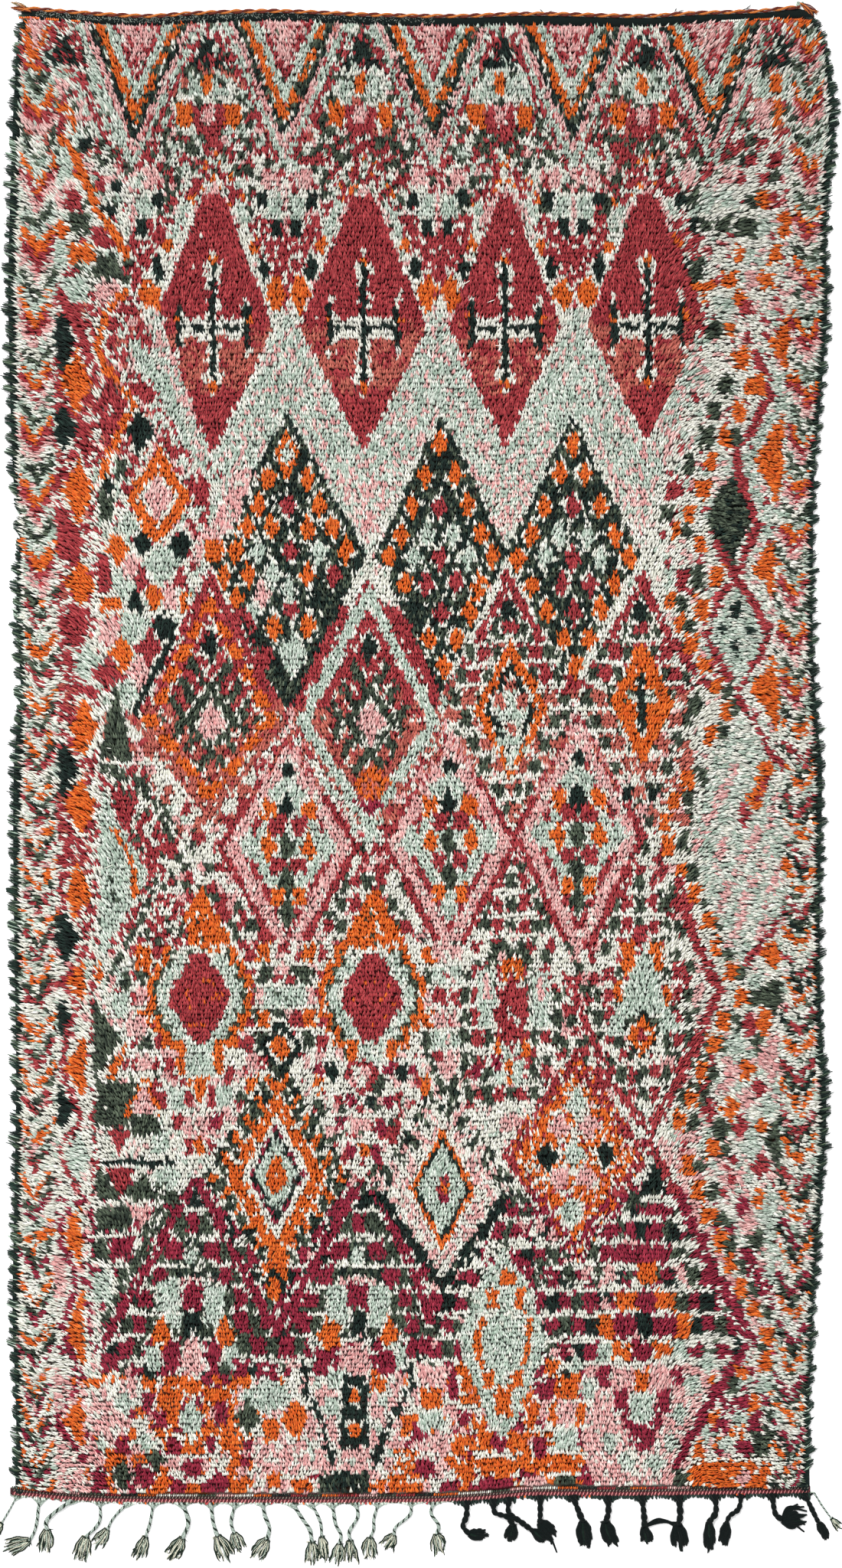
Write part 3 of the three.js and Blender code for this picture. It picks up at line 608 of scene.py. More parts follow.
def lattices(c):
    """Three dark diamonds filled with small lozenges."""
    for x, top, bottom, wide in ((375, 538, 930, 104), (577, 538, 906, 86), (748, 540, 894, 88)):
        off = c.off_kite(x, 722, wide, 722 - top, bottom - 722)
        c.shape(off, BLACK)
        c.mix(off < 0, (CHARCOAL, 0.4), (IVORY, 0.04))
    small = {
        ORANGE: ((351, 625), (402, 625), (338, 659), (417, 659), (323, 688), (354, 688), (402, 688),
            (435, 688), (309, 718), (452, 718), (293, 750), (324, 750), (403, 750), (310, 781), (358, 820),
            (403, 816), (575, 578), (555, 619), (594, 619), (610, 659), (629, 697), (525, 697), (540, 659),
            (643, 727), (508, 727), (629, 761), (625, 767), (615, 799), (560, 834), (596, 835), (580, 869),
            (530, 761), (748, 578), (731, 618), (764, 618), (711, 660), (785, 660), (694, 697), (803, 697),
            (676, 728), (822, 728), (694, 764), (804, 760), (715, 799), (785, 795), (736, 834), (769, 834),
            (752, 869)),
        CRIMSON: ((377, 659), (380, 718), (435, 750), (380, 792), (573, 659), (575, 727), (557, 761),
            (596, 761), (662, 761), (578, 799), (748, 660), (748, 728), (734, 762), (771, 762), (838, 760),
            (750, 799)),
        SAGE: ((338, 718), (417, 718), (356, 750), (377, 769), (328, 802), (592, 697), (558, 697),
            (611, 727), (541, 727), (731, 697), (767, 697), (713, 728), (785, 728)),
        PINK: ((342, 776),),
    }
    for yarn, places in small.items():
        c.lozenges(yarn, *((x, y, 11, 18.5) for x, y in places), edge=3.5)
    c.lozenges(PINK, (347, 856, 8, 14))
    c.lozenges(SAGE, (382, 851, 19, 30))
    c.nest(375, 592, 16, 32, (ORANGE, 1), (SAGE, 0.5))


def stepped_ground(c):
    """Rows of blocks around the narrow diamonds, and a mixed ground around the wide ones."""
    c.mix(c.within(135, 890, 590, 1085) & c.free_of(BLACK, CHARCOAL), (IVORY, 0.3), (CRIMSON, 0.2),
        (CORAL, 0.25), (PINK, 0.15), (SAGE, 0.1), grain=11)
    for x in (666, 838):
        c.lines(CRIMSON, 12, ((x, 760), (x - 68, 884)), ((x, 760), (x + 70, 892)))
        c.wedges(CHARCOAL, (x, 776, 840, 34))
    around = c.within(585, 836, 905, 1075) & c.free_of(ORANGE)
    around &= (c.y > 884) | (np.minimum(np.abs(c.x - 666), np.abs(c.x - 838)) < 22 + (c.y - 822) * 0.62)
    c.mix(around, (IVORY, 0.2), (CORAL, 0.4), (CHARCOAL, 0.2), (PINK, 0.2), grain=12)
    c.mix(around & (c.y < 905), (CRIMSON, 0.6), grain=14)
    for x in (666, 838):
        for k in range(7):
            y = 850 + 30 * k
            out = 82 - abs(y - 905) * 0.42
            c.blocks(IVORY, (x, y + 13, out, 3), edge=0)
            c.blocks(CORAL if k > 1 else CRIMSON, *mirrored(x, (out - 26, y, 9, 9), (out - 58, y, 6, 8)))
            c.blocks(CHARCOAL, *mirrored(x, (out - 8, y, 7, 9), (out - 42, y, 6, 8)))


def hooked_diamonds(c):
    """Two wide diamonds with hooks inside, and two narrow orange ones."""
    for x, top, wide, upper, lower in ((274, 744, 105, 196, 132), (481, 752, 98, 190, 150)):
        y = top + upper
        off = c.off_kite(x, y, wide, upper, lower)
        reach = 1 + off * np.hypot(wide, 160) / (wide * 160)
        free = c.free_of(BLACK, CHARCOAL, ORANGE)
        c.yarn[(reach < 1.22) & free & (c.y < 925) & (c.y > 790) & (np.abs(c.x - x) < 92)] = CRIMSON
        c.shape(off, CRIMSON, edge=3)
        c.mix((off < 0) & (c.chance < (c.y - 890) / 50), (CORAL, 0.85))
        c.mix(off < 0, (IVORY, 0.04))
        dash = ((c.y - 810) % 30 < 21) & (np.abs(reach - 0.76) < 0.085)
        if x == 274:
            c.some(IVORY, 0.3, np.abs(reach - 0.88) < 0.02)
            c.yarn[dash] = ORANGE
            c.some(IVORY, 0.5, np.abs(reach - 0.66) < 0.02)
        else:
            c.yarn[np.abs(reach - 0.88) < 0.085] = SAGE
            c.some(IVORY, 0.4, np.abs(reach - 0.79) < 0.02)
        hook = np.abs(c.x - x - 2) * 0.9 - np.abs(c.y - 940) * 0.55
        inner = (reach < 0.64) & (np.abs(c.y - 940) < 92)
        c.some(CHARCOAL, 0.9, inner & (hook % 26 < 13))
        c.some(IVORY, 0.5, inner & (hook % 26 > 22))
        c.lozenges(BLACK, (x + 1, 843, 11, 19), edge=4)
        c.lozenges(CHARCOAL, (x + 2, 940, 36, 50))
        c.lozenges(PINK, (x + 3, 944, 19, 29), edge=5)
    c.mix(c.off_lozenge(486, 1022, 25, 30) < 0, (ORANGE, 0.6), (CORAL, 0.4))
    c.wedges(WINE, (484, 1066, 1046, 18))
    c.wedges(SAGE, (486, 1070, 1096, 14))
    for x in (666, 838):
        c.lozenges(BLACK, (x - 1, 798, 12, 19), edge=4)
        c.blocks(CRIMSON, (x, 818, 10, 7))
        c.blocks(IVORY, (x, 834, 26, 3), edge=0)
        c.blocks(CHARCOAL, *mirrored(x, (20, 820, 5, 8)))
    c.nest(667, 926, 48, 92, (ORANGE, 1), (BLACK, 0.72), (SAGE, 0.48), edge=3)
    c.mix(c.off_lozenge(667, 970, 24, 40) < 0, (IVORY, 0.3), (SAGE, 0.5))
    c.blocks(CORAL, *mirrored(667, (15, 915, 7, 10)), (667, 893, 6, 7), (667, 950, 6, 8))
    c.lozenges(ORANGE, (839, 917, 42, 84))
    c.blocks(CORAL, (835, 1034, 10, 8), (836, 1004, 9, 7))
    c.blocks(BLACK, *mirrored(836, (16, 1036, 6, 10)))
    c.blocks(IVORY, (838, 908, 20, 7), edge=0)
    c.patch(818, 901, 858, 915, (SAGE, 0.4), (CHARCOAL, 0.25))
    c.blocks(BLACK, (838, 917, 5, 38))


def tall_diamonds(c):
    """Three tall diamonds with pink outlines, each with a chain of small lozenges."""
    c.patch(165, 1085, 905, 1262, (IVORY, 0.42), (CRIMSON, 0.3), (CHARCOAL, 0.18), (PINK, 0.1), grain=11)
    rows = ((1150, 20), (1179, 34), (1207, 50), (1235, 66), (1262, 78))
    for x in (480, 667, 836):
        for y, out in rows:
            wide = out if x != 480 else out + 8
            c.blocks(IVORY, (x, y + 14, wide, 3), edge=0)
            steps = int(wide // 17)
            for k in range(-steps, steps + 1):
                c.blocks((CHARCOAL, CRIMSON)[k % 2], (x + 17 * k, y, 7, 9))
    for x, top, bottom, wide in ((377, 955, 1276, 94), (588, 949, 1270, 91), (756, 925, 1276, 89)):
        y = (top + bottom) / 2 - 12
        off = c.off_kite(x, y, wide, y - top, bottom - y)
        c.shape(off, CRIMSON, edge=2)
        c.mix((off < 0) & (c.y < 1040), (PINK, 0.45), (CORAL, 0.25))
        c.shape(off + 9, PINK, edge=0)
        c.mix(off + 9 < 0, (IVORY, 0.1))
        c.shape(off + 25, CRIMSON, edge=0)
        c.mix((off + 25 < 0) & (c.y < 1020), (CORAL, 0.5))
        c.shape(off + 34, SAGE, edge=2)
        c.lozenges(BLACK, (x, y - 96, 11, 17))
        c.lozenges(SAGE, (x - 2, y - 68, 26, 24), edge=2)
        c.blocks(ORANGE, *mirrored(x, (26, y - 45, 9, 13)))
        c.lozenges(BLACK, (x - 2, y - 47, 12, 24))
        c.blocks(CRIMSON, *mirrored(x, (14, y - 26, 11, 11)))
        c.lozenges(ORANGE, *mirrored(x, (27, y, 12, 20)))
        c.lozenges(SAGE, *mirrored(x, (50, y, 13, 20)))
        c.lozenges(CHARCOAL, (x - 2, y + 2, 11, 25))
        c.blocks(CRIMSON, *mirrored(x, (13, y + 26, 10, 11)))
        c.lozenges(CHARCOAL, (x - 2, y + 47, 13, 22))
        c.blocks(ORANGE, *mirrored(x, (14, y + 68, 8, 12)))
        c.lozenges(CHARCOAL if x != 588 else SAGE, (x - 1, y + 88, 12, 20))


def medallions(c):
    """Two crimson medallions with stepped borders, a tall crimson figure and a sage one."""
    c.patch(140, 1228, 600, 1445, (IVORY, 0.48), (CRIMSON, 0.22), (CHARCOAL, 0.12), (PINK, 0.18), grain=12)
    c.patch(600, 1228, 930, 1445, (IVORY, 0.36), (CRIMSON, 0.28), (CHARCOAL, 0.27), (PINK, 0.09), grain=12)
    for k in range(8):
        y = 1242 + 29 * k
        c.blocks(IVORY, (374, y + 14, 52, 3), (540, y + 14, 60, 3), (170, y + 14, 30, 3), edge=0)
        c.blocks(CRIMSON, *mirrored(374, (48, y + 4, 6, 10)), (176, y + 2, 5, 9), (204, y, 5, 9))
        c.blocks((ORANGE, CHARCOAL, PINK)[k % 3], *mirrored(374, (30 + 14 * (k > 4), y, 8, 11)),
            (188, y, 9, 10), (560, y + 2, 9, 11))
        c.blocks((PINK, SAGE, CRIMSON)[k % 3], (574, y, 9, 11), (160, y, 8, 10), (596, y, 7, 9))
    c.blocks(SAGE, (372, 1300, 28, 14))
    c.patch(350, 1290, 395, 1310, (CHARCOAL, 0.05))
    c.blocks(CHARCOAL, *mirrored(372, (25, 1271, 8, 10)))
    c.blocks(CRIMSON, (372, 1277, 15, 5))
    for x in (261, 486):
        c.wedges(ORANGE, (x + 2, 1154, 1240, 46))
        c.mix(c.off_lozenge(x, 1212, 22, 26) < 0, (CHARCOAL, 0.12), (IVORY, 0.1))
        steps = ((54, 18), (46, 37), (35, 56))
        for ink, bigger in ((ORANGE, 14), (CHARCOAL, 5), (SAGE, 1)):
            for wide, tall in steps:
                c.blocks(ink, (x, 1300, wide + bigger, tall + bigger * 0.7), edge=2 * (ink == ORANGE))
        c.patch(x - 34, 1234, x + 34, 1250, (IVORY, 0.6))
        c.blocks(SAGE, (x, 1372, 19, 34), edge=0)
        c.mix(c.within(x - 56, 1240, x + 56, 1405) & (c.yarn == SAGE), (IVORY, 0.1))
        off = np.maximum(c.off_lozenge(x, 1302, 45, 71), np.maximum(np.abs(c.x - x) - 39,
            np.abs(c.y - 1302) - 58))
        c.shape(off, CRIMSON, edge=4)
        c.mix(off < -8, (ORANGE, 0.09))
        c.blocks(ORANGE, *mirrored(x, (25, 1378, 6, 22)), (x, 1417, 14, 9))
        c.wedges(ORANGE, (x, 1445, 1418, 10))
        c.blocks(CRIMSON, *mirrored(x, (15, 1434, 5, 12)), (x - 56, 1436, 7, 9))
        c.blocks(SAGE, *mirrored(x, (31, 1433, 10, 15)))
        c.blocks(PINK, (x, 1470, 22, 14))
        c.blocks(CRIMSON, *mirrored(x, (30, 1464, 7, 11), (14, 1496, 5, 11)))
        c.blocks(ORANGE, (x, 1496, 5, 12))
    rows = ((1270, 46), (1299, 62), (1328, 66), (1356, 62), (1400, 56), (1428, 44), (1456, 32))
    for y, out in rows:
        for middle in (668, 840):
            if y > 1430 and middle == 668 or y > 1440:
                continue
            steps = int(out // 15)
            for k in range(-steps, steps + 1):
                c.blocks((CHARCOAL, CRIMSON)[k % 2], (middle + 15 * k, y, 6, 9))
            c.blocks(IVORY, (middle, y + 13, out + 6, 3), edge=0)
    c.blocks(SAGE, (636, 1300, 11, 38), (706, 1304, 11, 36))
    c.blocks(PINK, (636, 1288, 4, 16), (706, 1290, 4, 16), edge=1)
    c.blocks(ORANGE, (669, 1266, 13, 14))
    c.blocks(SAGE, (668, 1368, 13, 13))
    c.blocks(ORANGE, (650, 1368, 5, 12), (686, 1368, 5, 12), (665, 1400, 5, 16))
    c.blocks(SAGE, *mirrored(665, (13, 1400, 7, 15)))
    c.lozenges(CRIMSON, (669, 1322, 24, 54))
    c.wedges(CRIMSON, (669, 1320, 1358, 16))
    c.blocks(IVORY, (667, 1319, 3, 3), edge=0)
    c.blocks(CRIMSON, (836, 1224, 9, 18))
    c.blocks(ORANGE, *mirrored(839, (18, 1250, 8, 20)))
    c.wedges(SAGE, (841, 1232, 1350, 50))
    c.lozenges(ORANGE, (808, 1294, 7, 18), (872, 1296, 7, 16))
    c.blocks(CHARCOAL, *mirrored(840, (12, 1336, 10, 7)))
    c.nest(839, 1352, 24, 34, (BLACK, 1), (ORANGE, 0.8), (CRIMSON, 0.3), edge=3)


def feathers(c, x, y, start, ink, broad, wide, up, down):
    """Barbs around a diamond, up and outwards above its middle and down and outwards below it."""
    far = np.abs(c.x - x)
    above = c.y < y
    size = far / wide + np.abs(c.y - y) / np.where(above, up, down)
    step = np.where(above, (c.y + 1.6 * far - start) % 48, (c.y - 1.3 * far - start - 85) % 40)
    c.mix(size < 1, (IVORY, 0.5), (CHARCOAL, 0.25), (BLACK, 0.25), grain=5)
    c.some(CHARCOAL, 0.8, (size < 1) & (step > broad + 4) & (step < broad + 18))
    c.some(ink, 0.95, (size < 0.93) & (step < broad))
    return size


def feathered_diamonds(c):
    """Three diamonds, two of them ringed by barbs, with rows of small blocks between them."""
    c.patch(290, 1445, 530, 1545, (IVORY, 0.5), (CHARCOAL, 0.2), (PINK, 0.22), (CRIMSON, 0.08), grain=9)
    c.patch(425, 1385, 525, 1535, (IVORY, 0.38), (CRIMSON, 0.26), (CHARCOAL, 0.2), (PINK, 0.16), grain=11)
    feathers(c, 362, 1538, 1419, ORANGE, 15, 98, 168, 138)
    c.lozenges(BLACK, (360, 1666, 27, 32), edge=0)
    off = c.off_lozenge(362, 1538, 65, 116)
    c.shape(off, ORANGE, edge=3)
    c.lines(ORANGE, 19, ((361, 1618), (360, 1646)), edge=2)
    c.lines(ORANGE, 8, ((357, 1640), (344, 1664)), ((364, 1640), (374, 1668)), edge=1)
    c.lozenges(ORANGE, (358, 1683, 11, 18))
    c.mix(off < 0, (IVORY, 0.08))
    c.nest(361, 1535, 36, 66, (IVORY, 1.26), (WINE, 1), (BLACK, 0.91), (SAGE, 0.8), (ORANGE, 0.44),
        (IVORY, 0.1), edge=0)
    c.nest(367, 1366, 29, 36, (BLACK, 1), (IVORY, 0.72), (ORANGE, 0.52), edge=0)
    size = feathers(c, 579, 1552, 1428, PINK, 18, 96, 158, 136)
    c.mix((size < 1) & (c.yarn == PINK), (IVORY, 0.35))
    c.some(BLACK, 0.9, (size < 1) & (size > 0.84) & (c.y > 1556))
    mass = np.where(c.y < 1552, c.off_lozenge(579, 1552, 72, 104), c.off_lozenge(578, 1552, 78, 114))
    c.mix(mass < 0, (PINK, 0.45), (IVORY, 0.55), grain=4)
    c.nest(578, 1552, 43, 81, (IVORY, 1.12), (ORANGE, 1), (BLACK, 0.84), (SAGE, 0.75), edge=0)
    c.lozenges(CRIMSON, (580, 1553, 10, 24), edge=0)
    c.lozenges(ORANGE, (579, 1551, 6, 9), edge=0)
    c.lines(CHARCOAL, 9, ((556, 1372), (584, 1434), (612, 1376)), gaps=0.2)
    c.lozenges(PINK, (586, 1392, 14, 24))
    c.blocks(WINE, (414, 1393, 6, 10), (507, 1395, 6, 10), (540, 1395, 6, 10), (459, 1437, 6, 9),
        (509, 1437, 7, 9), (445, 1465, 7, 8), (498, 1470, 7, 11), (459, 1505, 6, 10), (492, 1505, 6, 10),
        (622, 1398, 6, 10), (650, 1388, 6, 9), (278, 1463, 7, 8))
    c.blocks(BLACK, (433, 1399, 7, 11), (526, 1400, 7, 11), (484, 1437, 6, 9))
    c.blocks(PINK, (470, 1466, 15, 8), (667, 1465, 14, 9), (265, 1465, 9, 9))
    c.blocks(ORANGE, (476, 1503, 6, 10))
    light_lines(c, (1384, 405, 448), (1384, 498, 545), (1420, 408, 440), (1420, 516, 548), (1454, 436, 512),
        (1489, 444, 500), (1523, 448, 490))
    off = c.off_lozenge(752, 1508, 98, 140)
    c.shape(off, CRIMSON, edge=2)
    c.mix(off < 0, (IVORY, 0.16), (ORANGE, 0.14))
    c.shape(off + 16, ORANGE, edge=0)
    c.mix(off + 16 < 0, (IVORY, 0.18), (CRIMSON, 0.05), (PINK, 0.06))
    c.lozenges(SAGE, (753, 1438, 13, 20), (750, 1506, 15, 22), (746, 1583, 15, 22), edge=4)
    c.lozenges(PINK, (732, 1470, 17, 18), (769, 1470, 16, 18), (732, 1538, 15, 18), (766, 1538, 15, 18),
        edge=4)
    c.lozenges(BLACK, (715, 1510, 14, 19), (790, 1506, 14, 19), edge=4)


def light_lines(c, *places):
    """Light lines between the rows: y, left and right end."""
    for y, left, right in places:
        c.lines(IVORY, 7, ((left, y + 2), ((left + right) / 2, y), (right, y + 2)), edge=0, gaps=0.05)


def peak(c, x, middle):
    """One peak of dark and wine rows, with sage arms, orange lozenges and a pink lozenge at its foot."""
    c.wedges(CHARCOAL, (x, 1541, 1745, 104), edge=0)
    c.blocks(WINE, (middle, 1597, 8, 13), *mirrored(middle, (25, 1632, 11, 13), (43, 1664, 10, 12),
        (62, 1694, 9, 12), (70, 1728, 9, 12), (88, 1759, 9, 11)), edge=0)
    c.mix(c.within(middle - 40, 1620, middle + 40, 1672) & (c.yarn == CHARCOAL), (BLACK, 0.3), (IVORY, 0.08))
    light_lines(c, (1579, x - 22, x + 22), (1615, x - 42, x + 36), (1649, x - 60, x + 52),
        (1681, x - 76, x - 40), (1681, x + 40, x + 66), (1713, x - 92, x - 42), (1711, x + 44, x + 84),
        (1744, x - 106, x - 60))
    c.wedges(BLACK, (x, 1548, 1575, 15))
    c.blocks(SAGE, (middle - 2, 1641, 8, 10))
    c.blocks(PINK, (middle, 1678, 25, 10))
    c.mix(c.within(middle - 30, 1666, middle + 30, 1690) & (c.yarn == PINK), (IVORY, 0.4))
    c.blocks(WINE, (middle, 1691, 14, 17))
    c.blocks(SAGE, *mirrored(middle, (28, 1704, 13, 28)), edge=2)
    c.blocks(BLACK, (middle, 1732, 10, 18))
    c.lozenges(ORANGE, *mirrored(middle, (41, 1743, 14, 27)))
    c.lozenges(PINK, (middle, 1776, 20, 34))
    c.lozenges(WINE, *mirrored(middle, (27, 1770, 14, 27)))
    c.blocks(SAGE, *mirrored(middle, (52, 1772, 10, 16), (18, 1802, 8, 9)))


def check_rows(c):
    """Rows of wine and dark blocks between light lines, cut by diagonals."""
    rows = c.within(118, 1545, 1000, 1800) & (c.off_lozenge(752, 1508, 98, 140) > 0)
    c.mix(rows & (c.y < 1600), (IVORY, 0.3), (CHARCOAL, 0.4), (WINE, 0.3), grain=11)
    c.checks(rows & (c.y > 1575), 118, 1587, 17, 31, (CHARCOAL, WINE, BLACK, WINE))
    c.mix(rows & c.within(560, 1600, 900, 1690), (WINE, 0.12), (IVORY, 0.12), (CHARCOAL, 0.12), grain=12)
    c.mix(rows, (IVORY, 0.05), (PINK, 0.06), grain=11)
    c.blocks(CHARCOAL, (743, 1632, 8, 10), (743, 1661, 8, 11), (775, 1632, 7, 10), (884, 1632, 8, 10),
        (906, 1664, 8, 10), edge=2)
    c.blocks(PINK, (796, 1660, 8, 9), (768, 1661, 6, 9), edge=2)
    light_lines(c, (1590, 640, 700), (1590, 822, 900), (1626, 612, 690), (1626, 830, 915), (1655, 594, 650),
        (1683, 575, 640), (1681, 700, 930), (1712, 560, 620), (1713, 705, 945), (1744, 560, 605),
        (1749, 716, 955), (1648, 738, 808), (1646, 858, 915), (1619, 765, 812), (1772, 316, 402),
        (1741, 310, 345), (1780, 708, 960))
    peak(c, 256, 252)
    peak(c, 478, 468)
    c.lines(CHARCOAL, 10, ((246, 1550), (206, 1606), (168, 1668), (126, 1742)), gaps=0.1)
    c.lines(WINE, 12, ((252, 1541), (208, 1628), (165, 1700), (138, 1748), (118, 1776)),
        ((260, 1541), (300, 1626), (330, 1680), (360, 1742)), ((475, 1534), (428, 1616), (396, 1676),
        (360, 1742)), ((482, 1536), (519, 1612), (546, 1676), (562, 1726)), gaps=0.05)
    c.lines(WINE, 9, ((846, 1484), (822, 1545), (800, 1590)), gaps=0.1)
    c.wedges(BLACK, (855, 1512, 1556, 18))
    c.blocks(BLACK, *mirrored(858, (22, 1610, 7, 11)), (828, 1584, 5, 8), edge=0)
    c.blocks(WINE, (858, 1577, 10, 9), (858, 1610, 9, 11), (830, 1637, 46, 10), edge=0)
    light_lines(c, (1563, 838, 876))
    c.mix(c.within(700, 1640, 830, 1680) & (c.chance < 0.3), (IVORY, 0.3))
    c.blocks(WINE, (316, 1723, 10, 11), (351, 1723, 9, 11), (391, 1723, 9, 11), (375, 1757, 9, 11),
        (351, 1790, 15, 13), (316, 1786, 9, 10), (135, 1784, 20, 16), edge=0)
    c.blocks(CHARCOAL, (334, 1723, 8, 9), (320, 1757, 8, 11), (356, 1757, 9, 11), (392, 1757, 7, 12), edge=0)
    c.blocks(WINE, (845, 1700, 14, 13), (871, 1732, 12, 14), (813, 1732, 12, 14), (838, 1762, 13, 13), edge=0)
    c.blocks(ORANGE, (846, 1662, 13, 14), (818, 1698, 14, 12), (870, 1698, 14, 12), (791, 1731, 9, 15),
        (893, 1731, 9, 15), (812, 1764, 12, 11), (866, 1764, 12, 11), edge=1)
    c.blocks(BLACK, (843, 1731, 10, 14), edge=0)
    c.blocks(SAGE, (790, 1764, 10, 11), (888, 1764, 11, 11), edge=0)


def sage_medallion(c):
    """A sage medallion with orange bars, the shape of a pear."""
    half = np.interp(c.y, (1628, 1650, 1664, 1690, 1716, 1744, 1770, 1796, 1824, 1850, 1880),
        (2, 12, 24, 36, 46, 58, 52, 40, 28, 22, 1))
    off = np.where((c.y > 1628) & (c.y < 1880), np.abs(c.x - 657) - half, 99)
    c.shape(off, SAGE, edge=3)
    c.mix(off < 0, (IVORY, 0.1))
    c.blocks(ORANGE, (663, 1669, 10, 11), (643, 1696, 6, 14), (680, 1696, 6, 14), (638, 1801, 8, 11),
        (674, 1801, 8, 11), (657, 1830, 11, 17))
    c.lines(ORANGE, 8, ((632, 1722), (622, 1748), (628, 1778)), ((690, 1722), (692, 1748), (684, 1778)))
    c.blocks(IVORY, (655, 1716, 34, 2), edge=0)


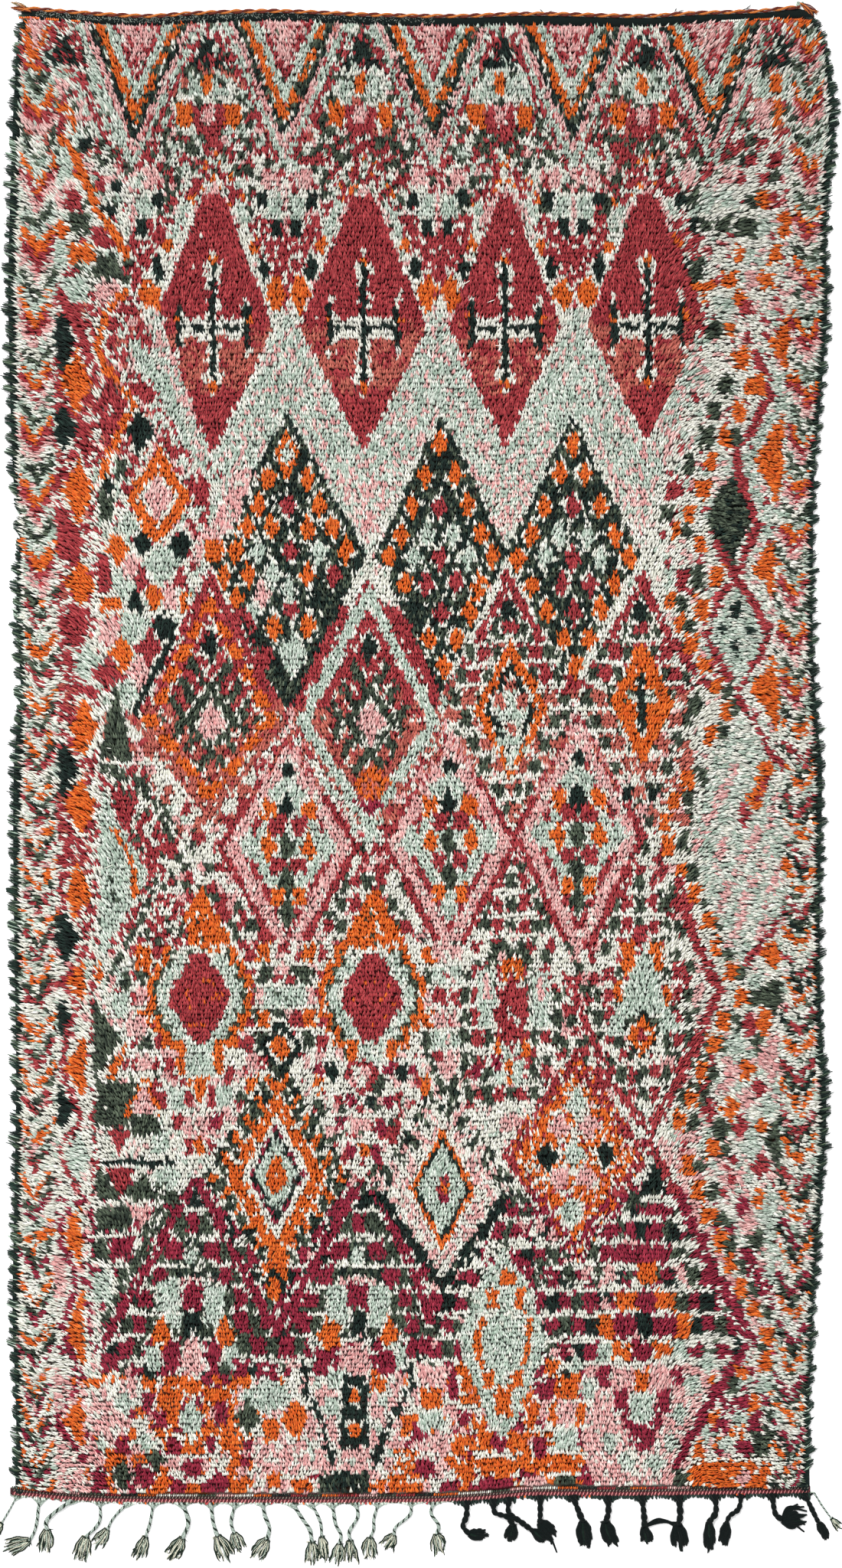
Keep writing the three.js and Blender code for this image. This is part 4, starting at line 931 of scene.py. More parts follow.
def bottom_patches(c):
    """Large free patches at the bottom end."""
    c.patch(110, 1796, 1030, 1970, (IVORY, 0.34), (PINK, 0.42), (ORANGE, 0.18), (WINE, 0.06), grain=12)
    c.patch(120, 1890, 330, 1970, (ORANGE, 0.24), (WINE, 0.15), (PINK, 0.2), grain=13)
    c.mix(c.within(110, 1800, 168, 1872) | c.within(330, 1862, 420, 1970), (PINK, 0.6), (IVORY, 0.4), grain=6)
    c.mix(c.within(215, 1795, 330, 1890) | c.within(590, 1780, 760, 1970), (ORANGE, 0.42), (WINE, 0.2),
        grain=12)
    c.blocks(ORANGE, (251, 1809, 12, 11), (222, 1822, 16, 10), (284, 1822, 18, 10), (251, 1887, 18, 11),
        (300, 1880, 12, 14), (151, 1909, 15, 14), (354, 1866, 10, 15), (220, 1935, 22, 12),
        (250, 1945, 30, 10), (312, 1938, 12, 9), (196, 1806, 10, 8), (142, 1800, 10, 7), (358, 1932, 9, 10),
        (394, 1938, 12, 9))
    c.lozenges(ORANGE, (386, 1852, 22, 28))
    c.blocks(WINE, (193, 1829, 7, 12), (210, 1853, 9, 11), (288, 1846, 8, 16), (160, 1885, 9, 10),
        (228, 1887, 9, 12), (276, 1886, 6, 11), (251, 1915, 13, 11), (189, 1923, 13, 12),
        (281, 1938, 15, 14), (354, 1799, 11, 11), (417, 1906, 11, 24), (128, 1930, 10, 14),
        (232, 1938, 10, 12))
    c.lozenges(SAGE, (251, 1853, 18, 30), (161, 1832, 14, 16), (189, 1881, 16, 16), (133, 1885, 10, 12),
        (351, 1822, 40, 24), (330, 1838, 16, 12))
    c.lozenges(CHARCOAL, (323, 1850, 16, 24), (205, 1903, 13, 17), (161, 1924, 16, 20))
    c.blocks(IVORY, (251, 1899, 34, 3), (251, 1929, 26, 3), (240, 1870, 16, 3), edge=0)
    c.patch(400, 1795, 530, 1925, (IVORY, 0.3), (SAGE, 0.28), (PINK, 0.42), grain=12)
    c.blocks(PINK, (463, 1776, 19, 20), (467, 1922, 22, 13))
    c.lines(BLACK, 10, ((398, 1798), (402, 1820), (418, 1845), (421, 1872), (435, 1906)),
        ((556, 1776), (536, 1811), (517, 1843), (504, 1868), (488, 1914)), gaps=0.34)
    c.blocks(SAGE, (463, 1825, 19, 29), (440, 1800, 12, 12), edge=2)
    c.blocks(BLACK, (463, 1803, 15, 8), (463, 1844, 15, 9), (463, 1879, 18, 9), edge=2)
    c.blocks(BLACK, *mirrored(463, (12, 1822, 5, 15), (15, 1864, 4, 10)), edge=2)
    c.blocks(ORANGE, (463, 1822, 6, 10), (463, 1867, 9, 8), (495, 1801, 11, 14), (436, 1740, 9, 13), edge=0)
    c.blocks(WINE, (420, 1776, 11, 17), (505, 1779, 11, 18))
    c.blocks(CHARCOAL, (449, 1938, 33, 15), edge=2)
    c.patch(416, 1922, 482, 1955, (BLACK, 0.4), (IVORY, 0.05))
    c.blocks(PINK, (564, 1801, 19, 15), (564, 1885, 24, 12), (739, 1843, 19, 18), (700, 1940, 16, 12))
    c.blocks(ORANGE, (564, 1826, 14, 14), (537, 1860, 13, 15), (601, 1888, 8, 15), (609, 1787, 13, 9),
        (611, 1809, 15, 9), (617, 1853, 8, 11), (634, 1882, 9, 13), (678, 1886, 11, 12),
        (652, 1914, 22, 13), (694, 1848, 7, 13), (720, 1787, 9, 14), (736, 1816, 19, 11),
        (722, 1846, 5, 16), (759, 1846, 5, 16), (774, 1882, 7, 15), (741, 1910, 22, 13),
        (530, 1905, 14, 12), (520, 1935, 12, 14), (607, 1922, 14, 10), (540, 1945, 12, 9),
        (785, 1912, 9, 16))
    c.blocks(WINE, (592, 1812, 7, 16), (606, 1846, 7, 14), (555, 1918, 14, 10), (652, 1881, 9, 12),
        (711, 1811, 12, 14), (676, 1853, 9, 13), (706, 1890, 9, 12), (648, 1940, 22, 12),
        (548, 1872, 10, 12), (768, 1925, 8, 14), (590, 1940, 12, 10), (703, 1786, 7, 13))
    c.blocks(SAGE, (564, 1857, 15, 13), (739, 1881, 15, 12))
    c.blocks(CHARCOAL, (738, 1938, 14, 13), edge=2)
    c.blocks(IVORY, (610, 1836, 14, 5), (650, 1899, 34, 4), (750, 1866, 60, 3), (740, 1896, 30, 3),
        (740, 1925, 26, 3), (545, 1902, 30, 3), (580, 1930, 24, 3), edge=0)
    c.mix(c.within(765, 1783, 925, 1950) & (np.abs(c.x - 838) < 118 - (c.y - 1783) * 0.36), (PINK, 0.8),
        (IVORY, 0.2), grain=5)
    c.lozenges(SAGE, *((x, y, 12, 15) for x, y in ((753, 1784), (768, 1815), (797, 1882), (818, 1908),
        (856, 1908), (876, 1882), (888, 1846), (906, 1808), (924, 1780))))
    c.blocks(WINE, (790, 1794, 8, 14), (811, 1826, 9, 18), (822, 1852, 9, 14), (883, 1797, 9, 12),
        (866, 1829, 9, 16), (856, 1852, 9, 13), (839, 1874, 15, 12))
    c.wedges(WINE, (838, 1902, 1880, 12))
    c.blocks(PINK, (813, 1799, 15, 14), (862, 1801, 15, 14))
    c.blocks(ORANGE, (838, 1801, 10, 15), edge=2)
    c.blocks(SAGE, (839, 1838, 15, 18))
    c.mix(c.within(925, 1765, 1030, 1906) & (c.x > 985 - (c.y - 1751) * 0.6), (IVORY, 0.32), (PINK, 0.3),
        (SAGE, 0.22), (WINE, 0.16), grain=11)
    c.blocks(ORANGE, (964, 1790, 9, 12), (932, 1853, 10, 13), (983, 1832, 8, 14), (964, 1871, 10, 10),
        (915, 1892, 8, 12), (942, 1885, 8, 9), (1006, 1812, 7, 12))
    c.blocks(CHARCOAL, (957, 1811, 8, 13), (999, 1881, 15, 20), (890, 1934, 8, 15), (1012, 1845, 7, 14))
    c.blocks(WINE, (966, 1834, 10, 11), (988, 1856, 8, 13), (974, 1890, 11, 10), (944, 1860, 7, 10))
    c.lozenges(SAGE, (967, 1852, 14, 16), (925, 1874, 11, 16), (950, 1884, 10, 10), (1000, 1800, 12, 20))
    c.blocks(IVORY, (962, 1906, 62, 4), edge=0)
    c.blocks(ORANGE, (962, 1928, 62, 20), edge=0)
    c.patch(900, 1908, 1024, 1948, (IVORY, 0.06))
    c.lozenges(PINK, (974, 1931, 12, 12), (1018, 1936, 14, 14), (1036, 1925, 12, 16))


def left_column(c):
    """The uneven left side: a chain of lozenges down the border, zigzags, triangles and loose lozenges."""
    c.mix(c.within(66, 95, 170, 400) & (c.x < 100 + (c.y - 95) * 0.4), (IVORY, 0.5), (SAGE, 0.14),
        (PINK, 0.1), (CRIMSON, 0.14), (CHARCOAL, 0.12), grain=8)
    plain = c.free_of(SAGE, BLACK, CHARCOAL)
    c.mix(c.within(108, 385, 235, 640) & plain & (c.x < 232 + (c.y - 560) * 0.3), (IVORY, 0.24),
        (CRIMSON, 0.56), (CORAL, 0.1), (PINK, 0.1), grain=6)
    c.mix(c.within(120, 600, 290, 920) & (c.x < 300 - (c.y - 640) * 0.36) & plain, (IVORY, 0.45),
        (PINK, 0.2), (SAGE, 0.15), (CRIMSON, 0.2), grain=9)
    c.patch(66, 380, 122, 1235, (CRIMSON, 0.62), (IVORY, 0.3), (CORAL, 0.08), grain=5)
    c.patch(118, 640, 130, 1240, (IVORY, 0.6), (CRIMSON, 0.4), grain=6)
    c.patch(66, 1225, 132, 1800, (IVORY, 0.72), (PINK, 0.08), (CRIMSON, 0.12), (SAGE, 0.08), grain=6)
    right = c.within(130, 1000, 245, 1235) & (c.x < 190 + (c.y - 1000) * 0.25)
    c.mix(right, (CRIMSON, 0.42), (IVORY, 0.38), (CHARCOAL, 0.2), grain=6)
    c.blocks(SAGE, (80, 212, 14, 24), (78, 332, 13, 20), (98, 380, 16, 16), (80, 104, 9, 9),
        (161, 760, 14, 20), (178, 820, 18, 20), (157, 1310, 12, 17), (229, 1436, 12, 14),
        (211, 1490, 12, 14), (219, 1538, 16, 13), (130, 1680, 15, 20), (219, 1691, 13, 20),
        (72, 1500, 8, 12))
    c.blocks(PINK, (77, 116, 12, 10), (74, 262, 18, 14), (140, 383, 16, 17), (145, 825, 14, 17),
        (221, 780, 10, 17), (174, 739, 12, 15), (178, 1340, 14, 15), (72, 1668, 15, 28))
    c.lines(PINK, 26, ((322, 622), (296, 676), (266, 716)), edge=4, gaps=0.2)
    c.blocks(CRIMSON, (76, 162, 8, 13), (97, 266, 10, 15), (136, 311, 15, 12), (186, 512, 24, 14),
        (136, 748, 10, 24), (188, 756, 10, 18), (231, 748, 11, 17), (258, 643, 15, 17), (209, 1436, 8, 13),
        (92, 700, 16, 34))
    c.blocks(CHARCOAL, (104, 292, 14, 14), (138, 349, 17, 15), (133, 212, 6, 9), (138, 660, 10, 20),
        (157, 612, 7, 13), (165, 1281, 8, 12), (153, 1427, 27, 15), (145, 1458, 22, 14),
        (190, 1467, 19, 14), (134, 1546, 8, 20), (147, 1592, 26, 14), (190, 1556, 26, 9),
        (133, 1633, 16, 15), (224, 1560, 10, 8))
    c.blocks(ORANGE, (78, 299, 10, 13), (107, 332, 17, 12), (198, 389, 12, 15), (145, 791, 14, 13),
        (186, 1256, 10, 9), (128, 1270, 5, 13), (240, 783, 5, 13), (280, 718, 11, 13), (120, 1806, 24, 4))
    c.lines(ORANGE, 8, ((60, 140), (92, 145)), ((95, 150), (98, 172)), ((149, 1086), (166, 1112),
        (174, 1136), (176, 1168)), ((165, 1366), (143, 1406)), ((188, 1414), (166, 1454)),
        ((188, 1414), (208, 1452)))
    c.lines(ORANGE, 11, ((78, 180), (99, 204), (107, 229), (120, 258), (134, 283), (151, 307), (166, 334)))
    c.lozenges(BLACK, (113, 187, 9, 14), (143, 272, 12, 10), (153, 245, 9, 11), (86, 556, 18, 37),
        (83, 443, 15, 48), (182, 562, 18, 32), (186, 708, 13, 22), (236, 710, 14, 24), (215, 818, 17, 24),
        (141, 633, 9, 12), edge=4)
    c.lines(CRIMSON, 13, ((74, 372), (107, 438), (116, 470)), ((76, 505), (107, 552), (112, 596)))
    c.lines(SAGE, 19, ((180, 455), (200, 484), (225, 530), (240, 575)), edge=4)
    c.nest(144, 538, 19, 50, (CRIMSON, 1), (IVORY, 0.15))
    c.lines(ORANGE, 9, ((165, 376), (149, 393), (132, 426), (128, 459), (144, 488), (165, 513), (178, 529),
        (165, 546), (153, 571), (141, 600), (133, 622)))
    c.lozenges(ORANGE, (100, 500, 20, 46), (103, 643, 20, 42), (105, 762, 20, 33), (155, 717, 15, 27),
        (200, 778, 14, 20), (159, 855, 17, 29), (110, 952, 20, 38), (106, 1052, 20, 40),
        (102, 1166, 17, 38), edge=4)
    c.nest(207, 650, 43, 67, (ORANGE, 1), (IVORY, 0.56), (PINK, 0.45), edge=4)
    c.lines(CRIMSON, 7, ((215, 540), (242, 590), (258, 625)), gaps=0.3)
    c.lozenges(SAGE, (167, 686, 15, 21), (211, 736, 24, 31), (114, 867, 18, 30), (165, 906, 20, 22),
        (101, 1512, 16, 36), edge=4)
    c.lozenges(CRIMSON, (194, 847, 20, 26), (141, 880, 19, 26), (98, 818, 22, 32))
    c.lozenges(PINK, (182, 876, 18, 21))
    c.wedges(BLACK, (176, 766, 798, 14))
    c.blocks(IVORY, (184, 800, 46, 3), (180, 994, 46, 3), edge=0)
    c.lines(BLACK, 9, ((226, 832), (200, 880), (176, 932)))
    c.wedges(CHARCOAL, (151, 890, 990, 21))
    c.lozenges(BLACK, (85, 1007, 23, 36), (86, 1225, 18, 36), (84, 1334, 13, 32), (82, 1448, 19, 27), edge=5)
    c.lines(CHARCOAL, 14, ((138, 1003), (182, 1022), (211, 1056), (224, 1090)), gaps=0.3)
    c.lines(CRIMSON, 9, ((140, 1020), (172, 1060), (194, 1104), (200, 1160), (166, 1214)), gaps=0.2)
    c.halves(SAGE, (131, 1140, 62, 116))
    c.lines(CHARCOAL, 5, ((144, 1146), (152, 1176)), edge=0, gaps=0.3)
    c.lines(ORANGE, 8, ((149, 1086), (166, 1112), (174, 1136), (176, 1168)), edge=1)
    c.lines(CHARCOAL, 9, ((205, 1150), (176, 1215), (148, 1262)), gaps=0.3)
    c.halves(ORANGE, (110, 1283, -22, 30), (112, 1394, -27, 46), (106, 1616, -24, 42), (110, 1740, -24, 56),
        (109, 1856, -28, 36), edge=4)
    c.lines(CRIMSON, 7, ((106, 1196), (116, 1236), (84, 1282), (104, 1318), (84, 1366), (80, 1392),
        (100, 1440), (108, 1466), (80, 1494), (88, 1530), (110, 1566), (84, 1590), (80, 1620), (102, 1664),
        (96, 1696), (82, 1736), (92, 1768), (110, 1796), (72, 1855), (108, 1905)), gaps=0.1)
    c.lines(CRIMSON, 5, ((122, 1240), (121, 1500), (118, 1760)), gaps=0.45)
    c.mix(c.within(66, 1800, 112, 1960) & c.free_of(ORANGE, CRIMSON), (PINK, 0.6), (IVORY, 0.25))
    c.halves(CHARCOAL, (122, 1358, 36, 54), edge=4)
    c.wedges(CRIMSON, (157, 1512, 1474, 16), (157, 1564, 1526, 19))
    c.lines(BLACK, 7, ((134, 1518), (226, 1516)), edge=3)
    c.wedges(CHARCOAL, (187, 1528, 1566, 22))
    c.wedges(PINK, (184, 1606, 1572, 20), (188, 1416, 1452, 18))
    c.blocks(WINE, (160, 1629, 15, 16))
    c.blocks(IVORY, (164, 1572, 44, 3), (150, 1612, 34, 3), edge=0)


def right_column(c):
    """The uneven right side: stairs of small blocks, half lozenges and a large sage patch."""
    left = np.interp(c.y, (165, 240, 430, 660, 790, 960), (962, 912, 924, 864, 866, 960))
    side = c.within(860, 165, 1030, 960) & (c.x > left) & ((c.y > 240) | (c.x > 962))
    c.mix(side, (IVORY, 0.58), (SAGE, 0.14), (PINK, 0.16), (CRIMSON, 0.12), grain=7)
    c.checks(c.within(964, 172, 1020, 242), 958, 172, 15, 23, (CRIMSON, CHARCOAL, CRIMSON, IVORY))
    c.lines(SAGE, 17, ((990, 461), (1015, 503), (1019, 527), (994, 569), (973, 598), (986, 643),
        (1002, 685), (998, 720)), edge=0, gaps=0.2)
    c.lines(CRIMSON, 11, ((977, 440), (1002, 503), (1006, 519), (990, 548), (973, 573), (959, 594),
        (965, 618), (977, 652), (990, 685), (982, 708), (960, 752), (936, 783), (922, 820), (936, 861),
        (961, 907)), ((932, 708), (957, 754), (982, 783), (1004, 828), (990, 853), (973, 882), (961, 907)),
        ((866, 812), (891, 853), (915, 886), (957, 911), (998, 966)), edge=3)
    c.blocks(ORANGE, (996, 262, 10, 12), (1023, 293, 8, 16), (965, 330, 8, 13), (1011, 332, 9, 13),
        (953, 367, 10, 11), (1000, 367, 10, 11), (924, 376, 8, 9), (965, 392, 9, 8), (953, 432, 8, 11),
        (967, 468, 10, 13), (986, 503, 12, 13), (965, 538, 9, 14), (944, 571, 8, 13), (931, 602, 7, 13),
        (920, 639, 10, 13), (901, 668, 7, 12), (886, 693, 8, 10), (915, 712, 6, 12), (936, 754, 9, 15),
        (876, 783, 9, 10), (915, 799, 10, 17), (891, 814, 8, 10), (903, 841, 8, 11), (920, 870, 8, 11),
        (934, 898, 7, 10), (946, 930, 7, 12), (928, 960, 8, 12), (899, 1017, 8, 12), (882, 1044, 8, 12),
        (870, 1073, 7, 11), (872, 1104, 8, 12), (891, 1141, 8, 12), (907, 1168, 8, 12), (924, 1203, 8, 12),
        (936, 1238, 8, 12))
    c.blocks(CHARCOAL, (907, 260, 8, 11), (979, 264, 8, 11), (922, 291, 8, 11), (944, 293, 8, 11),
        (973, 299, 14, 13), (932, 432, 10, 11), (949, 503, 9, 13), (934, 538, 8, 13), (922, 571, 10, 12),
        (959, 569, 7, 11), (900, 604, 8, 13), (872, 668, 9, 12), (899, 693, 6, 10), (911, 754, 8, 16),
        (891, 789, 7, 10), (901, 818, 7, 9), (949, 903, 7, 10), (961, 925, 8, 11), (907, 923, 9, 13),
        (946, 956, 8, 11), (915, 1014, 7, 11), (900, 1042, 7, 11), (891, 1100, 8, 12), (906, 1139, 8, 11),
        (926, 1171, 9, 12), (939, 1205, 7, 12), (953, 1240, 8, 12), (911, 351, 9, 16))
    c.blocks(PINK, (982, 367, 9, 11), (1004, 600, 8, 24), edge=1)
    c.blocks(SAGE, *((x, 260, 8, 12) for x in (924, 946)), (996, 296, 9, 12), (979, 334, 8, 10),
        (944, 396, 10, 10))
    c.blocks(CRIMSON, (1010, 260, 6, 11), (882, 639, 11, 12), (891, 758, 8, 12), (973, 402, 8, 9))
    light_lines(c, *((y, 918, 1012) for y in (245, 279, 314, 351, 381)), *((y, 944 - 0.33 * (y - 451),
        1000 - 0.4 * (y - 451)) for y in (451, 486, 520, 554, 587, 623, 656)))
    c.mix(c.off_lozenge(954, 678, 30, 62) < 0, (CHARCOAL, 0.75), (BLACK, 0.25), grain=3)
    c.lozenges(SAGE, (963, 832, 36, 68), edge=0)
    c.mix(c.off_lozenge(963, 832, 36, 68) < 0, (IVORY, 0.12))
    c.lozenges(BLACK, (961, 795, 10, 13), (942, 823, 7, 7), (977, 823, 7, 7), (955, 842, 7, 7),
        (962, 853, 6, 7), edge=0)
    c.halves(ORANGE, (1034, 449, -30, 48), (1022, 604, -37, 66), (1016, 743, -32, 50), (1022, 900, -42, 64),
        edge=4)
    area = c.x > np.interp(c.y, (915, 1000, 1100, 1160, 1200, 1245, 1290), (970, 930, 905, 915, 935, 957,
        985))
    area &= c.x < np.interp(c.y, (912, 966, 1002, 1040, 1190, 1258), (962, 1000, 1020, 1030, 1028, 978))
    area &= (c.y > 912) & (c.y < 1258)
    c.yarn[area] = SAGE
    c.mix(area, (IVORY, 0.42))
    for x, y in ((951, 1019), (915, 1090), (940, 1116), (982, 1100), (996, 1127), (969, 1123), (973, 1168),
            (944, 1172), (996, 1200), (1008, 1062), (1012, 1150), (935, 1050), (960, 1215)):
        c.lines(PINK, 11, ((x + 7, y - 19), (x - 7, y + 19)), edge=0, gaps=0.3)
    c.lines(ORANGE, 18, ((1000, 1002), (984, 1048)), edge=4)
    c.lines(CRIMSON, 6, ((1000, 1018), (988, 1044)), edge=0)
    c.lozenges(CRIMSON, (969, 1065, 10, 17))
    c.lines(CRIMSON, 9, ((963, 910), (998, 966), (1020, 1002), (1032, 1040)),
        ((1021, 1190), (1000, 1226), (974, 1256)), gaps=0.1)
    c.mix(c.within(895, 1262, 1022, 1480) & (c.x > 1000 - (c.y - 1250) * 0.42), (IVORY, 0.4), (PINK, 0.3),
        (SAGE, 0.3), grain=10)
    c.mix(c.within(862, 1465, 1015, 1780) & (c.x > 862 + (c.y - 1490) * 0.5), (IVORY, 0.4), (PINK, 0.35),
        (SAGE, 0.15), (CRIMSON, 0.1), grain=8)
    c.lines(PINK, 10, ((864, 1492), (890, 1532), (920, 1592), (948, 1653), (976, 1702), (1000, 1750)), edge=0)
    c.lines(CRIMSON, 13, ((888, 1150), (904, 1212), (922, 1256), (938, 1294), (922, 1330), (904, 1378),
        (883, 1417), (859, 1456), (846, 1484), (869, 1527), (901, 1590), (929, 1653), (957, 1702),
        (981, 1751), (953, 1787), (929, 1829), (908, 1867), (887, 1909)), gaps=0.06)
    c.lines(CRIMSON, 10, ((746, 1285), (774, 1357), (796, 1407), (846, 1476)), gaps=0.1)
    for x, y in ((952, 1268), (969, 1301), (945, 1334), (931, 1362), (917, 1400), (903, 1435), (888, 1463),
            (898, 1520), (913, 1555), (925, 1588), (938, 1622), (953, 1650), (967, 1681), (983, 1709),
            (999, 1744), (997, 1780), (931, 1500)):
        c.blocks(CHARCOAL, (x + 15, y + 3, 8, 11), edge=2)
        c.blocks(ORANGE, (x, y, 8, 12))
    c.lozenges(ORANGE, (1008, 1246, 16, 22), (997, 1336, 11, 28), (973, 1397, 12, 20), (953, 1450, 14, 20),
        (994, 1474, 14, 20), (992, 1570, 11, 20))
    c.lozenges(SAGE, (992, 1282, 18, 16), (960, 1364, 16, 20), (1002, 1446, 16, 20), (980, 1494, 15, 26),
        (1006, 1594, 20, 50), (1018, 1660, 18, 46))
    c.lozenges(CHARCOAL, (1010, 1300, 22, 26), (988, 1364, 10, 18), (939, 1473, 15, 20),
        (1016, 1490, 20, 38), (986, 1615, 13, 20), (944, 1594, 10, 12))
    c.lozenges(CRIMSON, (976, 1340, 12, 20), (990, 1421, 11, 18), (927, 1449, 14, 18), (966, 1471, 12, 18),
        (992, 1523, 13, 18), (967, 1577, 12, 18))
    c.lozenges(PINK, (1006, 1382, 20, 34), (955, 1400, 12, 18), (974, 1432, 14, 16), (974, 1598, 14, 16))
    c.lines(WINE, 15, ((974, 1636), (990, 1664), (1008, 1700), (1024, 1736)), gaps=0.2)


def borders(c):
    """Stacked points down the left and right borders, in one order of colours above and another below."""
    left_tips = (30, 120, 212, 300, 390, 483, 550, 628, 712, 805, 884, 950, 1005, 1063, 1120, 1180, 1234,
        1306, 1378, 1446, 1513, 1582, 1652, 1718, 1778, 1830, 1880, 1930, 1980)
    right_tips = (45, 115, 196, 275, 345, 413, 496, 564, 623, 686, 750, 818, 885, 945, 1012, 1082, 1140,
        1218, 1290, 1362, 1430, 1500, 1570, 1638, 1706, 1766, 1843, 1903, 1965)
    upper = ((CHARCOAL, 0.08), (SAGE, 0.24), (ORANGE, 0.43), (CRIMSON, 0.6), (PINK, 0.76), (IVORY, 0.93),
        (CHARCOAL, 1))
    lower_left = ((CHARCOAL, 0.1), (CRIMSON, 0.27), (IVORY, 0.62), (ORANGE, 0.82), (IVORY, 0.92),
        (CHARCOAL, 1))
    lower_right = ((BLACK, 0.1), (IVORY, 0.18), (ORANGE, 0.38), (IVORY, 0.7), (CRIMSON, 0.88), (CHARCOAL, 1))
    left_middle = np.interp(c.y, (60, 350, 480, 800, 1300, 1650, 1900), (52, 50, 46, 54, 50, 46, 46))
    right_middle = np.interp(c.y, (50, 450, 600, 720, 850, 1000, 1250, 1400, 1500, 1650, 1780, 1900),
        (1056, 1056, 1048, 1034, 1036, 1046, 1045, 1041, 1043, 1037, 1032, 1034))
    for side, middle, tips, change, lower in ((-1, left_middle, left_tips, 780, lower_left),
            (1, right_middle, right_tips, 935, lower_right)):
        out = (c.x - middle) * side
        c.mix((out > -25) & (c.y > 95 - 60 * (side > 0)), (IVORY, 0.62), (SAGE, 0.26), (PINK, 0.12), grain=6)
        drop = 1.5 * np.abs(out) + 4 * np.sin(c.x / 7 + c.y / 23)
        phase = np.interp(c.y + drop, tips, np.arange(len(tips)))
        points = (np.abs(out) < 22 + 3 * np.sin(c.y / 11)) & (c.y > 95 - 60 * (side > 0)) & (c.chance < 0.88)
        c.chevrons(points & (c.y < change), phase, *upper)
        c.chevrons(points & (c.y >= change) & (c.chance < 0.78), phase, *lower)
        c.mix(points & (c.yarn == IVORY), (CHARCOAL, 0.1), (SAGE, 0.15), grain=4)
    c.mix((c.x < 24) | (c.x > 1072), (IVORY, 0.5), (SAGE, 0.2))


def top_stray_tufts(c):
    """Stray dark, coral and sage tufts among the ivory at the top, which make the top darker."""
    c.mix(c.within(30, 26, 1072, 205) & (c.yarn == IVORY), (CHARCOAL, 0.12), (CORAL, 0.08), (SAGE, 0.14),
        grain=9)


def draw_pattern(c):
    """All the figures, in the order in which they cover each other."""
    c.patch(0, 0, CHART_WIDE, CHART_LONG, (SAGE, 0.1), (PINK, 0.06))
    half_lozenges(c)
    big_diamonds(c)
    sage_field(c)
    lattices(c)
    stepped_ground(c)
    tall_diamonds(c)
    hooked_diamonds(c)
    medallions(c)
    check_rows(c)
    feathered_diamonds(c)
    bottom_patches(c)
    sage_medallion(c)
    left_column(c)
    right_column(c)
    borders(c)
    c.yarn[(c.yarn == CRIMSON) & (c.y > 1560)] = WINE
    top_stray_tufts(c)


# Meshes


def add_piece(name, mesh, finishes):
    """Puts a mesh at the origin as a piece that rides on the rug."""
    mesh.polygons.foreach_set("use_smooth", np.ones(len(mesh.polygons), dtype=bool))
    for finish in finishes:
        mesh.materials.append(finish.material)
    piece = bpy.data.objects.new(name, mesh)
    bpy.context.collection.objects.link(piece)
    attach(piece, "root")
    return piece


def shape_arrays(shape):
    """The points and triangles of a small shape, which is freed."""
    bmesh.ops.triangulate(shape, faces=shape.faces)
    bmesh.ops.recalc_face_normals(shape, faces=shape.faces)
    shape.verts.index_update()
    points = np.array([v.co[:] for v in shape.verts])
    faces = np.array([[v.index for v in f.verts] for f in shape.faces])
    shape.free()
    return points, faces


def tuft_shape():
    """One strand of a tuft from 0 at its knot to 1 at its tip; it rises to its belly and then lies over."""
    shape = bmesh.new()
    bmesh.ops.create_cone(shape, cap_ends=True, segments=3, radius1=0.577, radius2=0, depth=0.5)
    bmesh.ops.remove_doubles(shape, verts=shape.verts, dist=0.001)
    bmesh.ops.translate(shape, verts=shape.verts, vec=(0, 0, 0.75))
    knot = min(shape.verts, key=lambda v: (round(v.co.z, 3), abs(v.co.x)))
    knot.co = (0, -0.1, 0)
    for v in shape.verts:
        if v is not knot and v.co.z < 0.9:
            v.co = (0.5 if v.co.x > 0 else -0.5, 0.7, v.co.z)
    return shape_arrays(shape)


def drum(sides, radius, parts):
    """A round bar that rises from 0 to 1, in parts of one length."""
    shape = bmesh.new()
    bmesh.ops.create_cone(shape, cap_ends=True, segments=sides, radius1=radius, radius2=radius, depth=1)
    bmesh.ops.translate(shape, verts=shape.verts, vec=(0, 0, 0.5))
    long_edges = [e for e in shape.edges if abs(e.verts[0].co.z - e.verts[1].co.z) > 0.5]
    bmesh.ops.subdivide_edges(shape, edges=long_edges, cuts=parts - 1)
    return shape


def strand_shape(sides, parts, blunt):
    """A length of yarn from 0 to 1, with narrower ends."""
    shape = drum(sides, 0.5, parts)
    for v in shape.verts:
        full = blunt + (1 - blunt) * math.sin(math.pi * v.co.z)
        v.co.x *= full
        v.co.y *= full
    return shape_arrays(shape)


